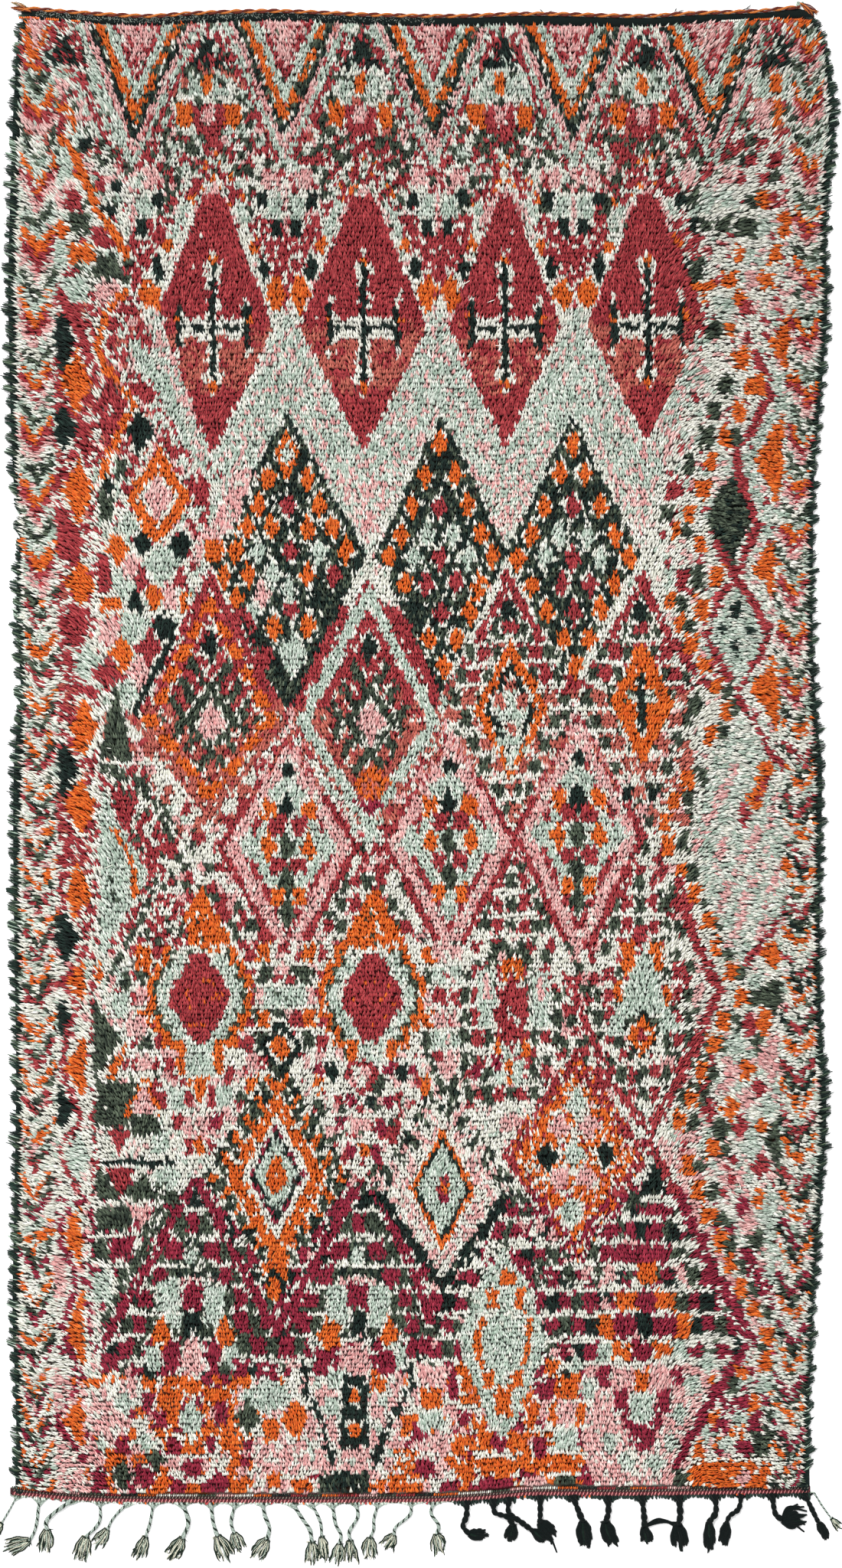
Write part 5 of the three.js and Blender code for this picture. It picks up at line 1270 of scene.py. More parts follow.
def plant(name, shape, roots, tips, wide, thick, colours, finish, arch=0.0, shade=(1.0, 1.0),
        heather=0.5):
    """One mesh of many strands: the shape laid from each root to its tip, raised by an arch between them."""
    points, faces = shape
    count = len(roots)
    along = tips - roots
    length = np.linalg.norm(along, axis=1, keepdims=True)
    forward = along / length
    side = np.cross(forward, (0.0, 0.0, 1.0))
    side /= np.maximum(np.linalg.norm(side, axis=1, keepdims=True), 1e-6)
    over = np.cross(side, forward)
    wide = np.broadcast_to(wide, count)[:, None, None]
    thick = np.broadcast_to(thick, count)[:, None, None]
    x, y, z = points[None, :, 0:1], points[None, :, 1:2], points[None, :, 2:3]
    place = roots[:, None] + z * along[:, None] + x * wide * side[:, None] + y * thick * over[:, None]
    place[:, :, 2] += 4 * points[:, 2] * (1 - points[:, 2]) * np.broadcast_to(arch, count)[:, None]
    triangles = (faces[None] + np.arange(count)[:, None, None] * len(points)).reshape(-1, 3)
    mesh = bpy.data.meshes.new(name)
    mesh.from_pydata(place.reshape(-1, 3), [], triangles)
    # Painted shade along each strand: its colour times shade[0] at the root rising to shade[1] at the tip; a
    # darker root paints the shade where strands go under, and a tip over 1 a painted highlight
    tone = shade[0] + (shade[1] - shade[0]) * points[:, 2]
    light, dark = colours
    twist = rng.random((count, len(points), 1)) * (1 - heather) + rng.random((count, 1, 1)) ** 1.4 * heather
    colour = (dark[:, None] + (light - dark)[:, None] * twist) * tone[None, :, None]
    colour = np.concatenate([colour, np.ones((count, len(points), 1))], axis=2)
    layer = mesh.color_attributes.new("yarn", "FLOAT_COLOR", "POINT")
    layer.data.foreach_set("color", colour.ravel())
    keep_cells(mesh, shape, count)
    return add_piece(name, mesh, [finish])


def keep_cells(mesh, shape, count):
    """Gives each strand a cell of its own on a flat map, its sides laid over each other."""
    points, faces = shape
    columns = int(math.ceil(math.sqrt(count)))
    up = points[faces][:, :, 2]
    order = np.argsort(np.argsort(points[faces][:, :, 0], axis=1, kind="stable"), axis=1)
    local = np.stack([0.1 + 0.4 * order, 0.1 + 0.8 * up], axis=2)
    cell = np.stack([np.arange(count) % columns, np.arange(count) // columns], axis=1)
    flat = (cell[:, None, None] + local[None]) / columns
    layer = mesh.uv_layers.new(name="OFBake")
    layer.uv.foreach_set("vector", flat.ravel())


def strands_of(yarn, count=None):
    """The light and the dark strand of a yarn, or of each yarn in a list, in linear light."""
    strands = seen(YARN_STRANDS)[yarn]
    if count is not None:
        strands = np.broadcast_to(strands, (count, 2, 3))
    return strands[:, 0], strands[:, 1]


def bar(name, rings, sides, place, finishes):
    """A closed bar of a few sides: place turns each point (across, up, along from 0 to 1) into the rug's."""
    shape = drum(sides, 1, rings)
    mesh = bpy.data.meshes.new(name)
    flat = np.array([v.co[:] for v in shape.verts])
    moved = np.stack(place(flat[:, 0], flat[:, 1], flat[:, 2]), axis=1)
    for v, co in zip(shape.verts, moved):
        v.co = co
    bmesh.ops.recalc_face_normals(shape, faces=shape.faces)
    shape.to_mesh(mesh)
    shape.free()
    return add_piece(name, mesh, finishes)


def distances(path):
    """How far each point of a path lies from its start, along it."""
    return np.concatenate([[0], np.cumsum(np.linalg.norm(np.diff(path, axis=0), axis=1))])


def spread(points, step):
    """Points a step apart on a smooth path through a few points."""
    points = np.array(points, dtype=float)
    padded = np.vstack([2 * points[0] - points[1], points, 2 * points[-1] - points[-2]])
    t = np.linspace(0, 1, 24, endpoint=False)[:, None]
    path = []
    for a, b, c, d in zip(padded, padded[1:], padded[2:], padded[3:]):
        bend = (2 * a - 5 * b + 4 * c - d) * t**2
        path.append(0.5 * (2 * b + (c - a) * t + bend + (3 * b - a - 3 * c + d) * t**3))
    path = np.vstack(path + [points[-1:]])
    gone = distances(path)
    even = np.linspace(0, gone[-1], max(int(gone[-1] / step), 3) + 1)
    return np.stack([np.interp(even, gone, path[:, k]) for k in range(3)], axis=1)


def twisted(path, radius, plies, pitch):
    """The paths of plies twisted round a path of even points."""
    tangent = np.gradient(path, axis=0)
    tangent /= np.linalg.norm(tangent, axis=1, keepdims=True)
    side = np.cross(tangent, (0.0, 0.0, 1.0))
    side /= np.linalg.norm(side, axis=1, keepdims=True)
    over = np.cross(side, tangent)
    gone = distances(path)
    paths = []
    for ply in range(plies):
        angle = (2 * math.pi * (gone / pitch + ply / plies))[:, None]
        paths.append(path + radius * (np.cos(angle) * side + np.sin(angle) * over))
    return paths


def yarns(name, runs, finishes, slot, sides):
    """Yarns swept along paths into one mesh; each run is its points, radii and the number of its finish."""
    curve = bpy.data.curves.new(name, "CURVE")
    curve.dimensions = "3D"
    curve.bevel_depth = 1.0
    curve.bevel_resolution = (sides - 4) // 2
    curve.use_fill_caps = True
    for finish in finishes:
        curve.materials.append(finish.material)
    for points, radii, which in runs:
        run = curve.splines.new("POLY")
        run.points.add(len(points) - 1)
        run.points.foreach_set("co", np.column_stack([points, np.ones(len(points))]).ravel())
        run.points.foreach_set("radius", np.broadcast_to(radii, len(points)).astype(float))
        run.material_index = which
    holder = bpy.data.objects.new(name + "_path", curve)
    mesh = bpy.data.meshes.new_from_object(holder)
    bpy.data.objects.remove(holder)
    bpy.data.curves.remove(curve)
    return add_piece(name, mesh, [])


# Finishes


class Amount:
    """A number that varies over a surface, so that shader maths reads as sums and products."""

    def __init__(self, finish, socket):
        self.finish = finish
        self.socket = socket

    def __add__(self, other):
        return self.finish.maths("ADD", self, other)

    def __radd__(self, other):
        return self.finish.maths("ADD", other, self)

    def __sub__(self, other):
        return self.finish.maths("SUBTRACT", self, other)

    def __rsub__(self, other):
        return self.finish.maths("SUBTRACT", other, self)

    def __mul__(self, other):
        return self.finish.maths("MULTIPLY", self, other)

    def __rmul__(self, other):
        return self.finish.maths("MULTIPLY", other, self)

    def __pow__(self, other):
        return self.finish.maths("POWER", self, other)


class Finish:
    """A material and the nodes that make it."""

    def __init__(self, name, sheen=0.04):
        self.material = bpy.data.materials.new(name)
        self.material.use_nodes = True
        self.tree = self.material.node_tree
        self.surface = self.tree.nodes["Principled BSDF"]
        self.surface.inputs["Roughness"].default_value = 0.9
        self.surface.inputs["Specular IOR Level"].default_value = 0.08
        self.surface.inputs["Sheen Weight"].default_value = sheen
        self.surface.inputs["Sheen Roughness"].default_value = 0.6
        self.place = self.node("ShaderNodeTexCoord", {}, {}).outputs["Object"]

    def node(self, kind, settings, sockets):
        made = self.tree.nodes.new(kind)
        for name, value in settings.items():
            setattr(made, name, value)
        for name, value in sockets.items():
            self.feed(made.inputs[name], value)
        return made

    def feed(self, socket, value):
        if isinstance(value, Amount):
            value = value.socket
        if isinstance(value, bpy.types.NodeSocket):
            self.tree.links.new(value, socket)
        else:
            socket.default_value = value

    def maths(self, operation, first, second):
        made = self.node("ShaderNodeMath", {"operation": operation}, {0: first, 1: second})
        return Amount(self, made.outputs[0])

    def stretched(self, scale):
        return self.node("ShaderNodeMapping", {}, {"Vector": self.place, "Scale": scale}).outputs["Vector"]

    def noise(self, scale, detail=2.0, stretch=(1, 1, 1)):
        sockets = {"Vector": self.stretched(stretch), "Scale": scale, "Detail": detail}
        return Amount(self, self.node("ShaderNodeTexNoise", {}, sockets).outputs["Fac"])

    def ribs(self, scale, direction, distortion):
        settings = {"wave_type": "BANDS", "bands_direction": direction}
        sockets = {"Vector": self.place, "Scale": scale, "Distortion": distortion}
        return Amount(self, self.node("ShaderNodeTexWave", settings, sockets).outputs["Fac"])

    def yarn_colour(self):
        return self.node("ShaderNodeAttribute", {"attribute_name": "yarn"}, {}).outputs["Color"]

    def between(self, low, high, first, second):
        """A ramp on an amount: first under low, second over high."""
        def read(amount):
            made = self.node("ShaderNodeValToRGB", {}, {0: amount})
            stops = made.color_ramp.elements
            stops[0].position, stops[1].position = low, high
            stops[0].color, stops[1].color = (*seen(first), 1), (*seen(second), 1)
            return made.outputs["Color"]

        return read

    def toned(self, colour, amount):
        """A colour made lighter or darker by an amount."""
        grey = self.node("ShaderNodeCombineColor", {}, {0: amount, 1: amount, 2: amount}).outputs[0]
        settings = {"data_type": "RGBA", "blend_type": "MULTIPLY"}
        return self.node("ShaderNodeMix", settings, {0: 1.0, 6: colour, 7: grey}).outputs[2]

    def coloured(self, colour):
        self.feed(self.surface.inputs["Base Color"], colour)
        return self

    def raised(self, height, strength, distance):
        sockets = {"Height": height, "Strength": strength, "Distance": distance}
        bump = self.node("ShaderNodeBump", {}, sockets).outputs["Normal"]
        self.feed(self.surface.inputs["Normal"], bump)
        return self


def yarn_finish(name, brightness, grain=0.3):
    """Wool whose colour comes with each strand, with fine fibres along it."""
    finish = Finish(name)
    fibres = finish.noise(1500, 2.0, (1, 0.3, 1))
    lumps = finish.noise(420, 1.0)
    colour = finish.toned(finish.yarn_colour(), brightness * (1 - grain) + brightness * 2 * grain * fibres)
    return finish.coloured(colour).raised(fibres + lumps, 0.5, 0.0006)


def plain_finish(name, dark, light, grain, ribs=None):
    """Yarn of one hue with lighter and darker fibres, and ribs along or across it if wanted."""
    finish = Finish(name)
    fibres = finish.noise(grain, 3.0, (1, 0.6, 1))
    height = fibres
    if ribs:
        height = finish.ribs(*ribs) + fibres * 0.6
        fibres = fibres * 0.7 + finish.ribs(*ribs) * 0.3
    return finish.coloured(finish.between(0.32, 0.7, dark, light)(fibres)).raised(height, 0.6, 0.0009)


# Camera, floor and light


def set_up_view():
    """A camera straight above the rug, soft light from the far left and a white floor."""
    camera = bpy.data.cameras.new("camera")
    camera.lens = LENS
    camera.sensor_width = SENSOR
    camera.clip_end = 50
    holder = bpy.data.objects.new("camera", camera)
    holder.location = (0, 0, CAMERA_ABOVE + CHART_LONG * CHART_STEP * LENS / SENSOR)
    bpy.context.collection.objects.link(holder)
    bpy.context.scene.camera = holder
    bpy.context.scene.view_settings.view_transform = "Standard"
    world = bpy.data.worlds.new("room")
    world.use_nodes = True
    light = world.node_tree.nodes["Background"].inputs
    light["Color"].default_value = (1, 1, 1, 1)
    light["Strength"].default_value = ROOM_LIGHT
    bpy.context.scene.world = world
    for name, place, size, power in LAMPS:
        lamp = bpy.data.lights.new(name, "AREA")
        lamp.energy = power
        lamp.size = size
        holder = bpy.data.objects.new(name, lamp)
        holder.location = place
        x, y, z = place
        holder.rotation_euler = (math.atan2(math.hypot(x, y), z), 0, math.atan2(x, -y))
        bpy.context.collection.objects.link(holder)
    floor = bmesh.new()
    bmesh.ops.create_grid(floor, x_segments=1, y_segments=1, size=FLOOR_HALF)
    bmesh.ops.translate(floor, verts=floor.verts, vec=(0, 0, -FLOOR_BELOW))
    mesh = bpy.data.meshes.new("floor")
    floor.to_mesh(mesh)
    floor.free()
    paper = Finish("floor_paper", sheen=0.0)
    paper.coloured(paper.between(0, 1, *FLOOR_TONES)(paper.noise(3)))
    mesh.materials.append(paper.material)
    plane = bpy.data.objects.new("floor", mesh)
    bpy.context.collection.objects.link(plane)


# Pile and cloth


def lean(x, y):
    """Which way the pile lies, as an angle from straight up the rug, and how far it lies over."""
    right = ramp(x, 0.47, 0.70)
    left = ramp(-x, 0.60, 0.80)
    top = ramp(y, 1.15, 1.5)
    turn = right * (98 - 56 * top) - left * (70 - 26 * top)
    low_corner = ramp(-y, 1.35, 1.55) * ramp(np.abs(x), 0.4, 0.7)
    over = TUFT_LIES_OVER + 10 * (right + left) - 22 * low_corner
    return turn, over


def make_pile(finish):
    """Draws the pattern, then ties a tuft for each knot, in strips that run the length of the rug."""
    row, column = np.mgrid[0:KNOTS_ALONG, 0:KNOTS_ACROSS]
    across = (column + 0.25 + 0.5 * (row % 2)) / KNOTS_ACROSS
    rise = (row + 0.5) / KNOTS_ALONG
    x, y = body_place(across.ravel(), rise.ravel())
    column = column.ravel()
    count = len(x)
    x = x + rng.normal(0, KNOT_STRAYS[0], count)
    y = y + rng.normal(0, KNOT_STRAYS[1], count)
    turn, over = lean(x, y)
    turn = turn + 15 * sway(x, y, 0.05, 3) + 12 * sway(x, y, 0.016, 4)
    over = over + 9 * sway(x, y, 0.04, 5)
    middle_x = x + TUFT_MIDDLE * np.sin(np.radians(turn))
    middle_y = y + TUFT_MIDDLE * np.cos(np.radians(turn))
    roots, tips = [], []
    for half in (-1, 1):
        way = np.radians(turn + rng.normal(0, 9, count))
        down = np.radians(np.clip(over + rng.normal(0, 6, count), TUFT_LEAST_OVER, TUFT_MOST_OVER))
        length = TUFT_LENGTH * (1 + 0.12 * sway(x, y, 0.06, 6) + rng.normal(0, 0.1, count))
        length *= 1 + 0.35 * ramp(over, TUFT_LIES_OVER + 3, TUFT_LIES_OVER + 10)
        room = top_edge(x) - top_width(x) - y - 0.003 + PAST_TOP_BAND * rng.random(count) ** 3
        flat = length * np.sin(down)
        flat *= np.clip(room / np.maximum(flat * np.cos(way), 1e-4), 0.12, 1)
        side_room = np.where(way > 0, right_inner(y) - x, x - left_inner(y))
        side_room += PAST_SELVEDGE * rng.random(count)
        flat *= np.clip(side_room / np.maximum(flat * np.abs(np.sin(way)), 1e-4), 0.15, 1)
        height = np.minimum(CLOTH_THICK + length * np.cos(down), TUFT_HIGHEST)
        step = half * STRAND_ASIDE
        foot_x, foot_y = x + step * np.cos(way), y - step * np.sin(way)
        roots.append(points_at(foot_x, foot_y, CLOTH_THICK - TUFT_ROOT_DEPTH))
        tips.append(points_at(foot_x + flat * np.sin(way), foot_y + flat * np.cos(way), height))
    cloth = np.meshgrid(*[np.linspace(0, 1, n + 1) for n in CLOTH_STEPS])
    cloth_x, cloth_y = body_place(cloth[0].ravel(), cloth[1].ravel())
    chart = Chart(
        CHART_WIDE / 2 + np.concatenate([middle_x, cloth_x]) / CHART_STEP,
        CHART_LONG / 2 - np.concatenate([middle_y, cloth_y]) / CHART_STEP,
    )
    draw_pattern(chart)
    light, dark = strands_of(chart.yarn[:count])
    # Painted shade in lumps a little larger than a tuft, for the shade between clumps of tufts; the pile is
    # also made darker towards the top end
    clump_shade = 1.015 + 0.09 * sway(x, y, 0.013, 8)
    top_dimming_and_clump_shade = np.interp(y, (0.6, 1.2, 1.6), (1.0, 0.89, 0.84)) * clump_shade
    strips = []
    shape = tuft_shape()
    for strip in range(PILE_STRIPS):
        pick = column * PILE_STRIPS // KNOTS_ACROSS == strip
        strands = 2 * pick.sum()
        wide = STRAND_WIDE * rng.normal(1, 0.1, strands)
        thick = STRAND_THICK * rng.normal(1, 0.1, strands)
        tone = rng.uniform(0.8, 1.0, (strands, 1)) * np.tile(top_dimming_and_clump_shade[pick], 2)[:, None]
        feet = np.vstack([r[pick] for r in roots])
        ends = np.vstack([t[pick] for t in tips])
        colours = [np.vstack([strand[pick]] * 2) * tone for strand in (light, dark)]
        strips.append(plant(f"pile_{strip + 1}", shape, feet, ends, wide, thick, colours, finish,
            shade=(ROOT_SHADE, 1.0), heather=0.75))
    return strips, (cloth_x, cloth_y, chart.yarn[count:])


def make_cloth(knots, finish):
    """The woven ground, whose underside shows the backs of the knots; its top, seen between the tufts, is
    painted dark as shade.
    """
    x, y, yarn = knots
    count = len(x)
    points = np.vstack([points_at(x, y, 0), points_at(x, y, CLOTH_THICK)])
    knot = np.arange(count).reshape(CLOTH_STEPS[1] + 1, CLOTH_STEPS[0] + 1)
    under = np.stack([knot[:-1, :-1], knot[1:, :-1], knot[1:, 1:], knot[:-1, 1:]], axis=-1).reshape(-1, 4)
    rim = np.concatenate([knot[0], knot[1:, -1], knot[-1, -2::-1], knot[-2:0:-1, 0]])
    onward = np.roll(rim, -1)
    sides = np.stack([rim, onward, onward + count, rim + count], axis=1)
    mesh = bpy.data.meshes.new("ground_cloth")
    mesh.from_pydata(points, [], np.concatenate([under, under[:, ::-1] + count, sides]))
    light, dark = strands_of(yarn)
    backs = (light + dark) / 2
    # Painted shade: the top, seen in the gaps between the tufts, is a quarter as bright as the backs
    colour = np.column_stack([np.vstack([backs, 0.25 * backs]), np.ones(2 * count)])
    layer = mesh.color_attributes.new("yarn", "FLOAT_COLOR", "POINT")
    layer.data.foreach_set("color", colour.ravel())
    return add_piece("ground_cloth", mesh, [finish])



# Edges


def make_selvedge(side, core_finish, wrap_finish):
    """Edge warps wrapped with dark yarn: a core, and wrappings that gather into lobes and points."""
    outer, inner, out = {"left": (left_outer, left_inner, -1), "right": (right_outer, right_inner, 1)}[side]
    low = bottom_line(0.9 * out) - 0.002
    high = top_edge(0.88 * out) - top_width(0.88 * out) * 0.5

    def core(across, up, along):
        y = low + (high - low) * along
        middle = (outer(y) + inner(y)) / 2 - out * 0.006
        half = abs(outer(y) - inner(y)) / 2 - 0.004
        lump = 1 + 0.1 * sway(y, y * 0, 0.012, 31)
        height = SELVEDGE_TOP * 0.36 * lump
        return middle + across * half, y, np.maximum(height + up * height, 0.0002)

    piece = bar(f"selvedge_core_{side}", 420, 8, core, [core_finish])
    starts = low + np.cumsum(rng.uniform(*WRAP_PITCH, 300))
    starts = starts[starts < high]
    ends = np.append(starts[1:], high)
    share = (np.arange(WRAP_STRANDS) + 0.5) / WRAP_STRANDS
    y = (starts[:, None] + (ends - starts)[:, None] * share).ravel()
    count = len(y)
    lobe_middle = np.repeat((starts + ends) / 2, WRAP_STRANDS)
    lobe_reach = np.repeat(rng.uniform(0.1, 1.0, len(starts)), WRAP_STRANDS) * WRAP_REACH
    off_middle = np.tile(np.abs(2 * share - 1), len(starts))
    point = np.where(rng.random(count) < 0.05, rng.uniform(0.002, 0.007, count), 0)
    reach = lobe_reach * (0.8 - off_middle**2.2) - WRAP_SET_BACK[side]
    tip_x = outer(y) + out * (reach + rng.normal(0, 0.0009, count) + point)
    tip_y = lobe_middle + (y - lobe_middle) * 0.7 + rng.normal(0, 0.002, count) + 0.005
    root_x = inner(y) + out * rng.uniform(-0.004, 0.005, count)
    root_y = np.clip(y - 0.006, low, high)
    roots = points_at(root_x, root_y, rng.uniform(0.004, 0.007, count))
    tips = points_at(tip_x, np.clip(tip_y, low, high), rng.uniform(0.0024, 0.006, count))
    paler = np.repeat(rng.random(len(starts)), WRAP_STRANDS) * WRAP_PALER[side]
    chance = rng.random(count)
    yarn = np.where(chance < paler * 0.3, SAGE, np.where(chance < 0.1 + paler, CHARCOAL, BLACK))
    light, dark = strands_of(yarn)
    light[yarn == SAGE] *= 0.62
    wide = WRAP_WIDE * rng.normal(1, 0.2, count)
    arch = 0.006 + 0.002 * rng.normal(0, 1, count)
    greener = light * (0.92, 1.06, 0.98)
    # Painted shade at the roots of the wraps, and a painted highlight at their tips a quarter brighter than
    # the yarn
    wraps = plant(f"selvedge_wraps_{side}", strand_shape(3, 2, 0.42), roots, tips, wide, WRAP_THICK,
        (greener, dark), wrap_finish, arch=arch, shade=(0.4, 1.25), heather=0.8)
    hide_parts(f"selvedge_{side}")
    return [piece, wraps]


def make_top_end(band_finish, cord_finishes, bead_finish):
    """The dark flat-woven band, its light flecks and orange stitches, and the twined cord above it."""
    left, right = TOP_BAND

    def band(across, up, along):
        x = left + (right - left) * along
        edge = top_edge(x) - GAP
        width = top_width(x) - 2 * GAP
        wide = np.sign(across) * np.minimum(np.abs(across) * 1.12, 1)
        high = np.sign(up) * np.minimum(np.abs(up) * 1.6, 1)
        ripple = 0.0003 * sway(x, across * 0.01, 0.01, 41)
        return x, edge - width / 2 + wide * width / 2 + ripple, TOP_BAND_THICK / 2 * (1 + high)

    pieces = [bar("top_band_weave", 360, 8, band, [band_finish])]
    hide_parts("top_band")
    x = np.linspace(*TOP_CORD, 40)
    radius = TOP_CORD_RADIUS
    path = spread(points_at(x, top_edge(x) + TOP_CORD_ABOVE, 2.3 * radius), 0.0042)
    runs = []
    for k, ply in enumerate(twisted(path, radius, 2, TOP_CORD_PITCH)):
        runs.append((ply, radius * (1 + 0.08 * rng.normal(0, 1, len(ply))), k))
    for (x0, y0), (x1, y1), wide, which in TOP_FRAYS:
        for lock in range(FRAY_LOCKS):
            dx = (x1 - x0) * (1 + rng.normal(0, 0.12))
            dy = (y1 - y0) * (1 + rng.normal(0, 0.2))
            bow = rng.normal(0, 0.002)
            z = 0.0022 + 0.0011 * lock
            foot = (x0, y0 - 0.002, z)
            belly = (x0 + dx * 0.5 + bow, y0 + dy * 0.55 + bow, z)
            path = spread((foot, belly, (x0 + dx, min(y0 + dy, FRAY_HIGHEST_Y), 0.0020)), 0.004)
            other = which if which == 3 or lock % 3 else 1 - min(which, 1)
            runs.append((path, np.linspace(wide / 4, wide / 9, len(path)), other))
    pieces.append(yarns("top_twined_cord", runs, cord_finishes, "twined_cord", 6))
    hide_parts("top_cord")
    x = np.concatenate([rng.uniform(start, end, count) for start, end, count in FLECKS])
    slant = np.where(np.sin(x * 90) > 0, 1, -1)
    y = top_edge(x) - top_width(x) + top_width(x) * rng.uniform(0.25, 0.85, len(x))
    roots = points_at(x, y, TOP_BAND_THICK)
    tips = roots + points_at(0.0022 * slant, 0.0030, 0.0)
    pieces.append(plant("top_band_flecks", strand_shape(3, 2, 0.3), roots, tips, 0.0011, 0.0010,
        strands_of(SAGE, len(x)), bead_finish, shade=(0.6, 0.6)))
    beads = [(x, yarn) for start, end, yarn in TOP_STITCHES for x in np.arange(start, end, TOP_STITCH_PITCH)]
    x, yarn = (np.array(a) for a in zip(*beads))
    roots = points_at(x, top_edge(x) - top_width(x) - 0.001, 0.012)
    tips = roots + np.array([0.0015, 0.0055, 0.0])
    pieces.append(plant("top_band_stitches", strand_shape(4, 3, 0.5), roots, tips, 0.0036, 0.0036,
        strands_of(yarn), bead_finish, arch=0.001))
    return pieces


def ribbed(count, light, dark):
    """Light and dark strands by turns, painted highlight and shade so that a row of them reads as ribs."""
    turn = (np.arange(count) % 2)[:, None]
    first = np.where(turn, seen(light), seen(dark))
    return first, first * 0.7


def make_bottom_end(base_finish, bead_finish):
    """The twined bottom end: coloured stitches, a taupe line and a madder band."""
    left, right = BOTTOM_BAND

    def base(across, up, along):
        x = left + (right - left) * along
        middle = bottom_line(x) + (BOTTOM_BAND_ABOVE - BOTTOM_BAND_BELOW) / 2
        half = (BOTTOM_BAND_ABOVE + BOTTOM_BAND_BELOW) / 2
        wide = np.sign(across) * np.minimum(np.abs(across) * 1.12, 1)
        return x, middle + wide * half * 0.96, BOTTOM_BAND_THICK / 2 * (1 + up * 0.9)

    pieces = [bar("bottom_band_weave", 300, 8, base, [base_finish])]
    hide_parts("bottom_band")
    # Name, pitch, lower and upper edge from the band's line, slant, width, height and number of sides
    rows = (
        ("bottom_stitches", 0.0046, 0.0080, 0.0150, 0.0014, 0.0036, 0.0056, 4),
        ("bottom_taupe_line", 0.0036, 0.0030, 0.0082, 0.0026, 0.0026, 0.0058, 3),
        ("bottom_madder_band", 0.0040, -0.0062, 0.0030, 0.0042, 0.0038, 0.0054, 3),
    )
    for name, pitch, low, high, slant, wide, height, sides in rows:
        x = np.arange(left + 0.004, right - 0.004, pitch)
        x = x + rng.normal(0, pitch * 0.06, len(x))
        count = len(x)
        line = bottom_line(x)
        roots = points_at(x, line + low + rng.normal(0, 0.0003, count), height - 0.0012)
        tips = points_at(x + slant, line + high + rng.normal(0, 0.0003, count), height - 0.0012)
        if name == "bottom_stitches":
            run = np.floor(x / 0.042 + 0.4 * sway(x, x * 0, 0.1, 51)).astype(int)
            # Painted shade: every other stitch at half brightness, so that the row reads as ribs
            rib_shade = np.where(np.arange(count) % 2, 0.5, 1.0)[:, None]
            strands = [s * rib_shade for s in strands_of(np.array(STITCH_RUNS)[(run * 7) % len(STITCH_RUNS)])]
        elif name == "bottom_taupe_line":
            strands = ribbed(count, (0.62, 0.58, 0.52), (0.16, 0.17, 0.16))
        else:
            strands = ribbed(count, (0.88, 0.55, 0.55), (0.42, 0.16, 0.19))
        width = wide * rng.normal(1, 0.08, count)
        pieces.append(plant(name, strand_shape(sides, 3, 0.45), roots, tips, width, 0.0028, strands,
            bead_finish, arch=0.0012))
    return pieces


def tassel_runs(neck, tip, fan, locks, strays, style):
    """The yarns of a tassel: dark ones below that paint the shadow between the locks, locks with ragged ends
    over them and short ends at its neck.
    """
    radius, tones, under = style["lock"], style["tones"], style["under"]
    neck, tip = np.array(neck), np.array(tip)
    along = tip - neck
    length = np.linalg.norm(along)
    along = along / length
    side = np.array([-along[1], along[0]])
    fan = fan - 2.4 * radius
    wave = rng.uniform(0, 6)
    runs = []

    def lock(share, reach, rise, wide, finish):
        start = neck + side * share * fan * 0.16
        middle = neck + along * reach * 0.34 + side * share * fan * 0.42
        late = neck + along * reach * 0.72 + side * (share * fan * 0.52 + rng.normal(0, 0.0012))
        end = neck + along * reach + side * (share * fan * 0.55 + rng.normal(0, 0.003))
        path = spread([(*start, radius * 2), (*middle, rise), (*late, rise * 0.8), (*end, wide * 0.8)],
            0.0052)
        part = np.linspace(0, 1, len(path))
        path[:, :2] += side * (0.0007 * np.sin(part * 14 + 9 * share))[:, None]
        width = wide * np.interp(part, (0, 0.3, 0.8, 1), (0.8, 1.1, 1.0, 0.3))
        path[:, 2] = np.maximum(path[:, 2], width)
        runs.append((path, width, finish))

    for n in range(locks):
        share = (n + 0.5) / locks * 2 - 1 + rng.normal(0, 0.05)
        ragged = 0.88 - 0.16 * share * share + 0.1 * math.sin(share * 6.5 + wave) + rng.normal(0, 0.07)
        lock(share * 1.05, length * min(ragged - 0.02, 1.0), radius * 1.1, radius * 1.7, under)
        lock(share * 0.95, length * min(ragged, 0.99), radius * (2.2 + 2 * rng.random() * (1 - abs(share))),
            radius, tones[n % len(tones)])
    for n in range(STRAY_ENDS):
        way = along * rng.uniform(-0.2, 0.9) + side * (1 if n % 2 else -1)
        reach = fan * rng.uniform(0.22, 0.42)
        path = spread([(*(neck + way * reach * part), radius * (1.8 - part)) for part in (0, 0.5, 1)], 0.004)
        runs.append((path, radius * np.linspace(1, 0.3, len(path)), under if n % 2 else tones[0]))
    for n, stray in enumerate(strays):
        gap = np.array(stray) - neck
        bow = np.array([-gap[1], gap[0]]) * (0.06 + 0.06 * n)
        path = spread([(*neck, radius * 2), (*(neck + gap * 0.5 + bow), radius * 1.5),
            (*stray, radius * 1.2)], 0.004)
        runs.append((path, radius * np.linspace(1.1, 0.7, len(path)), tones[0]))
    return runs


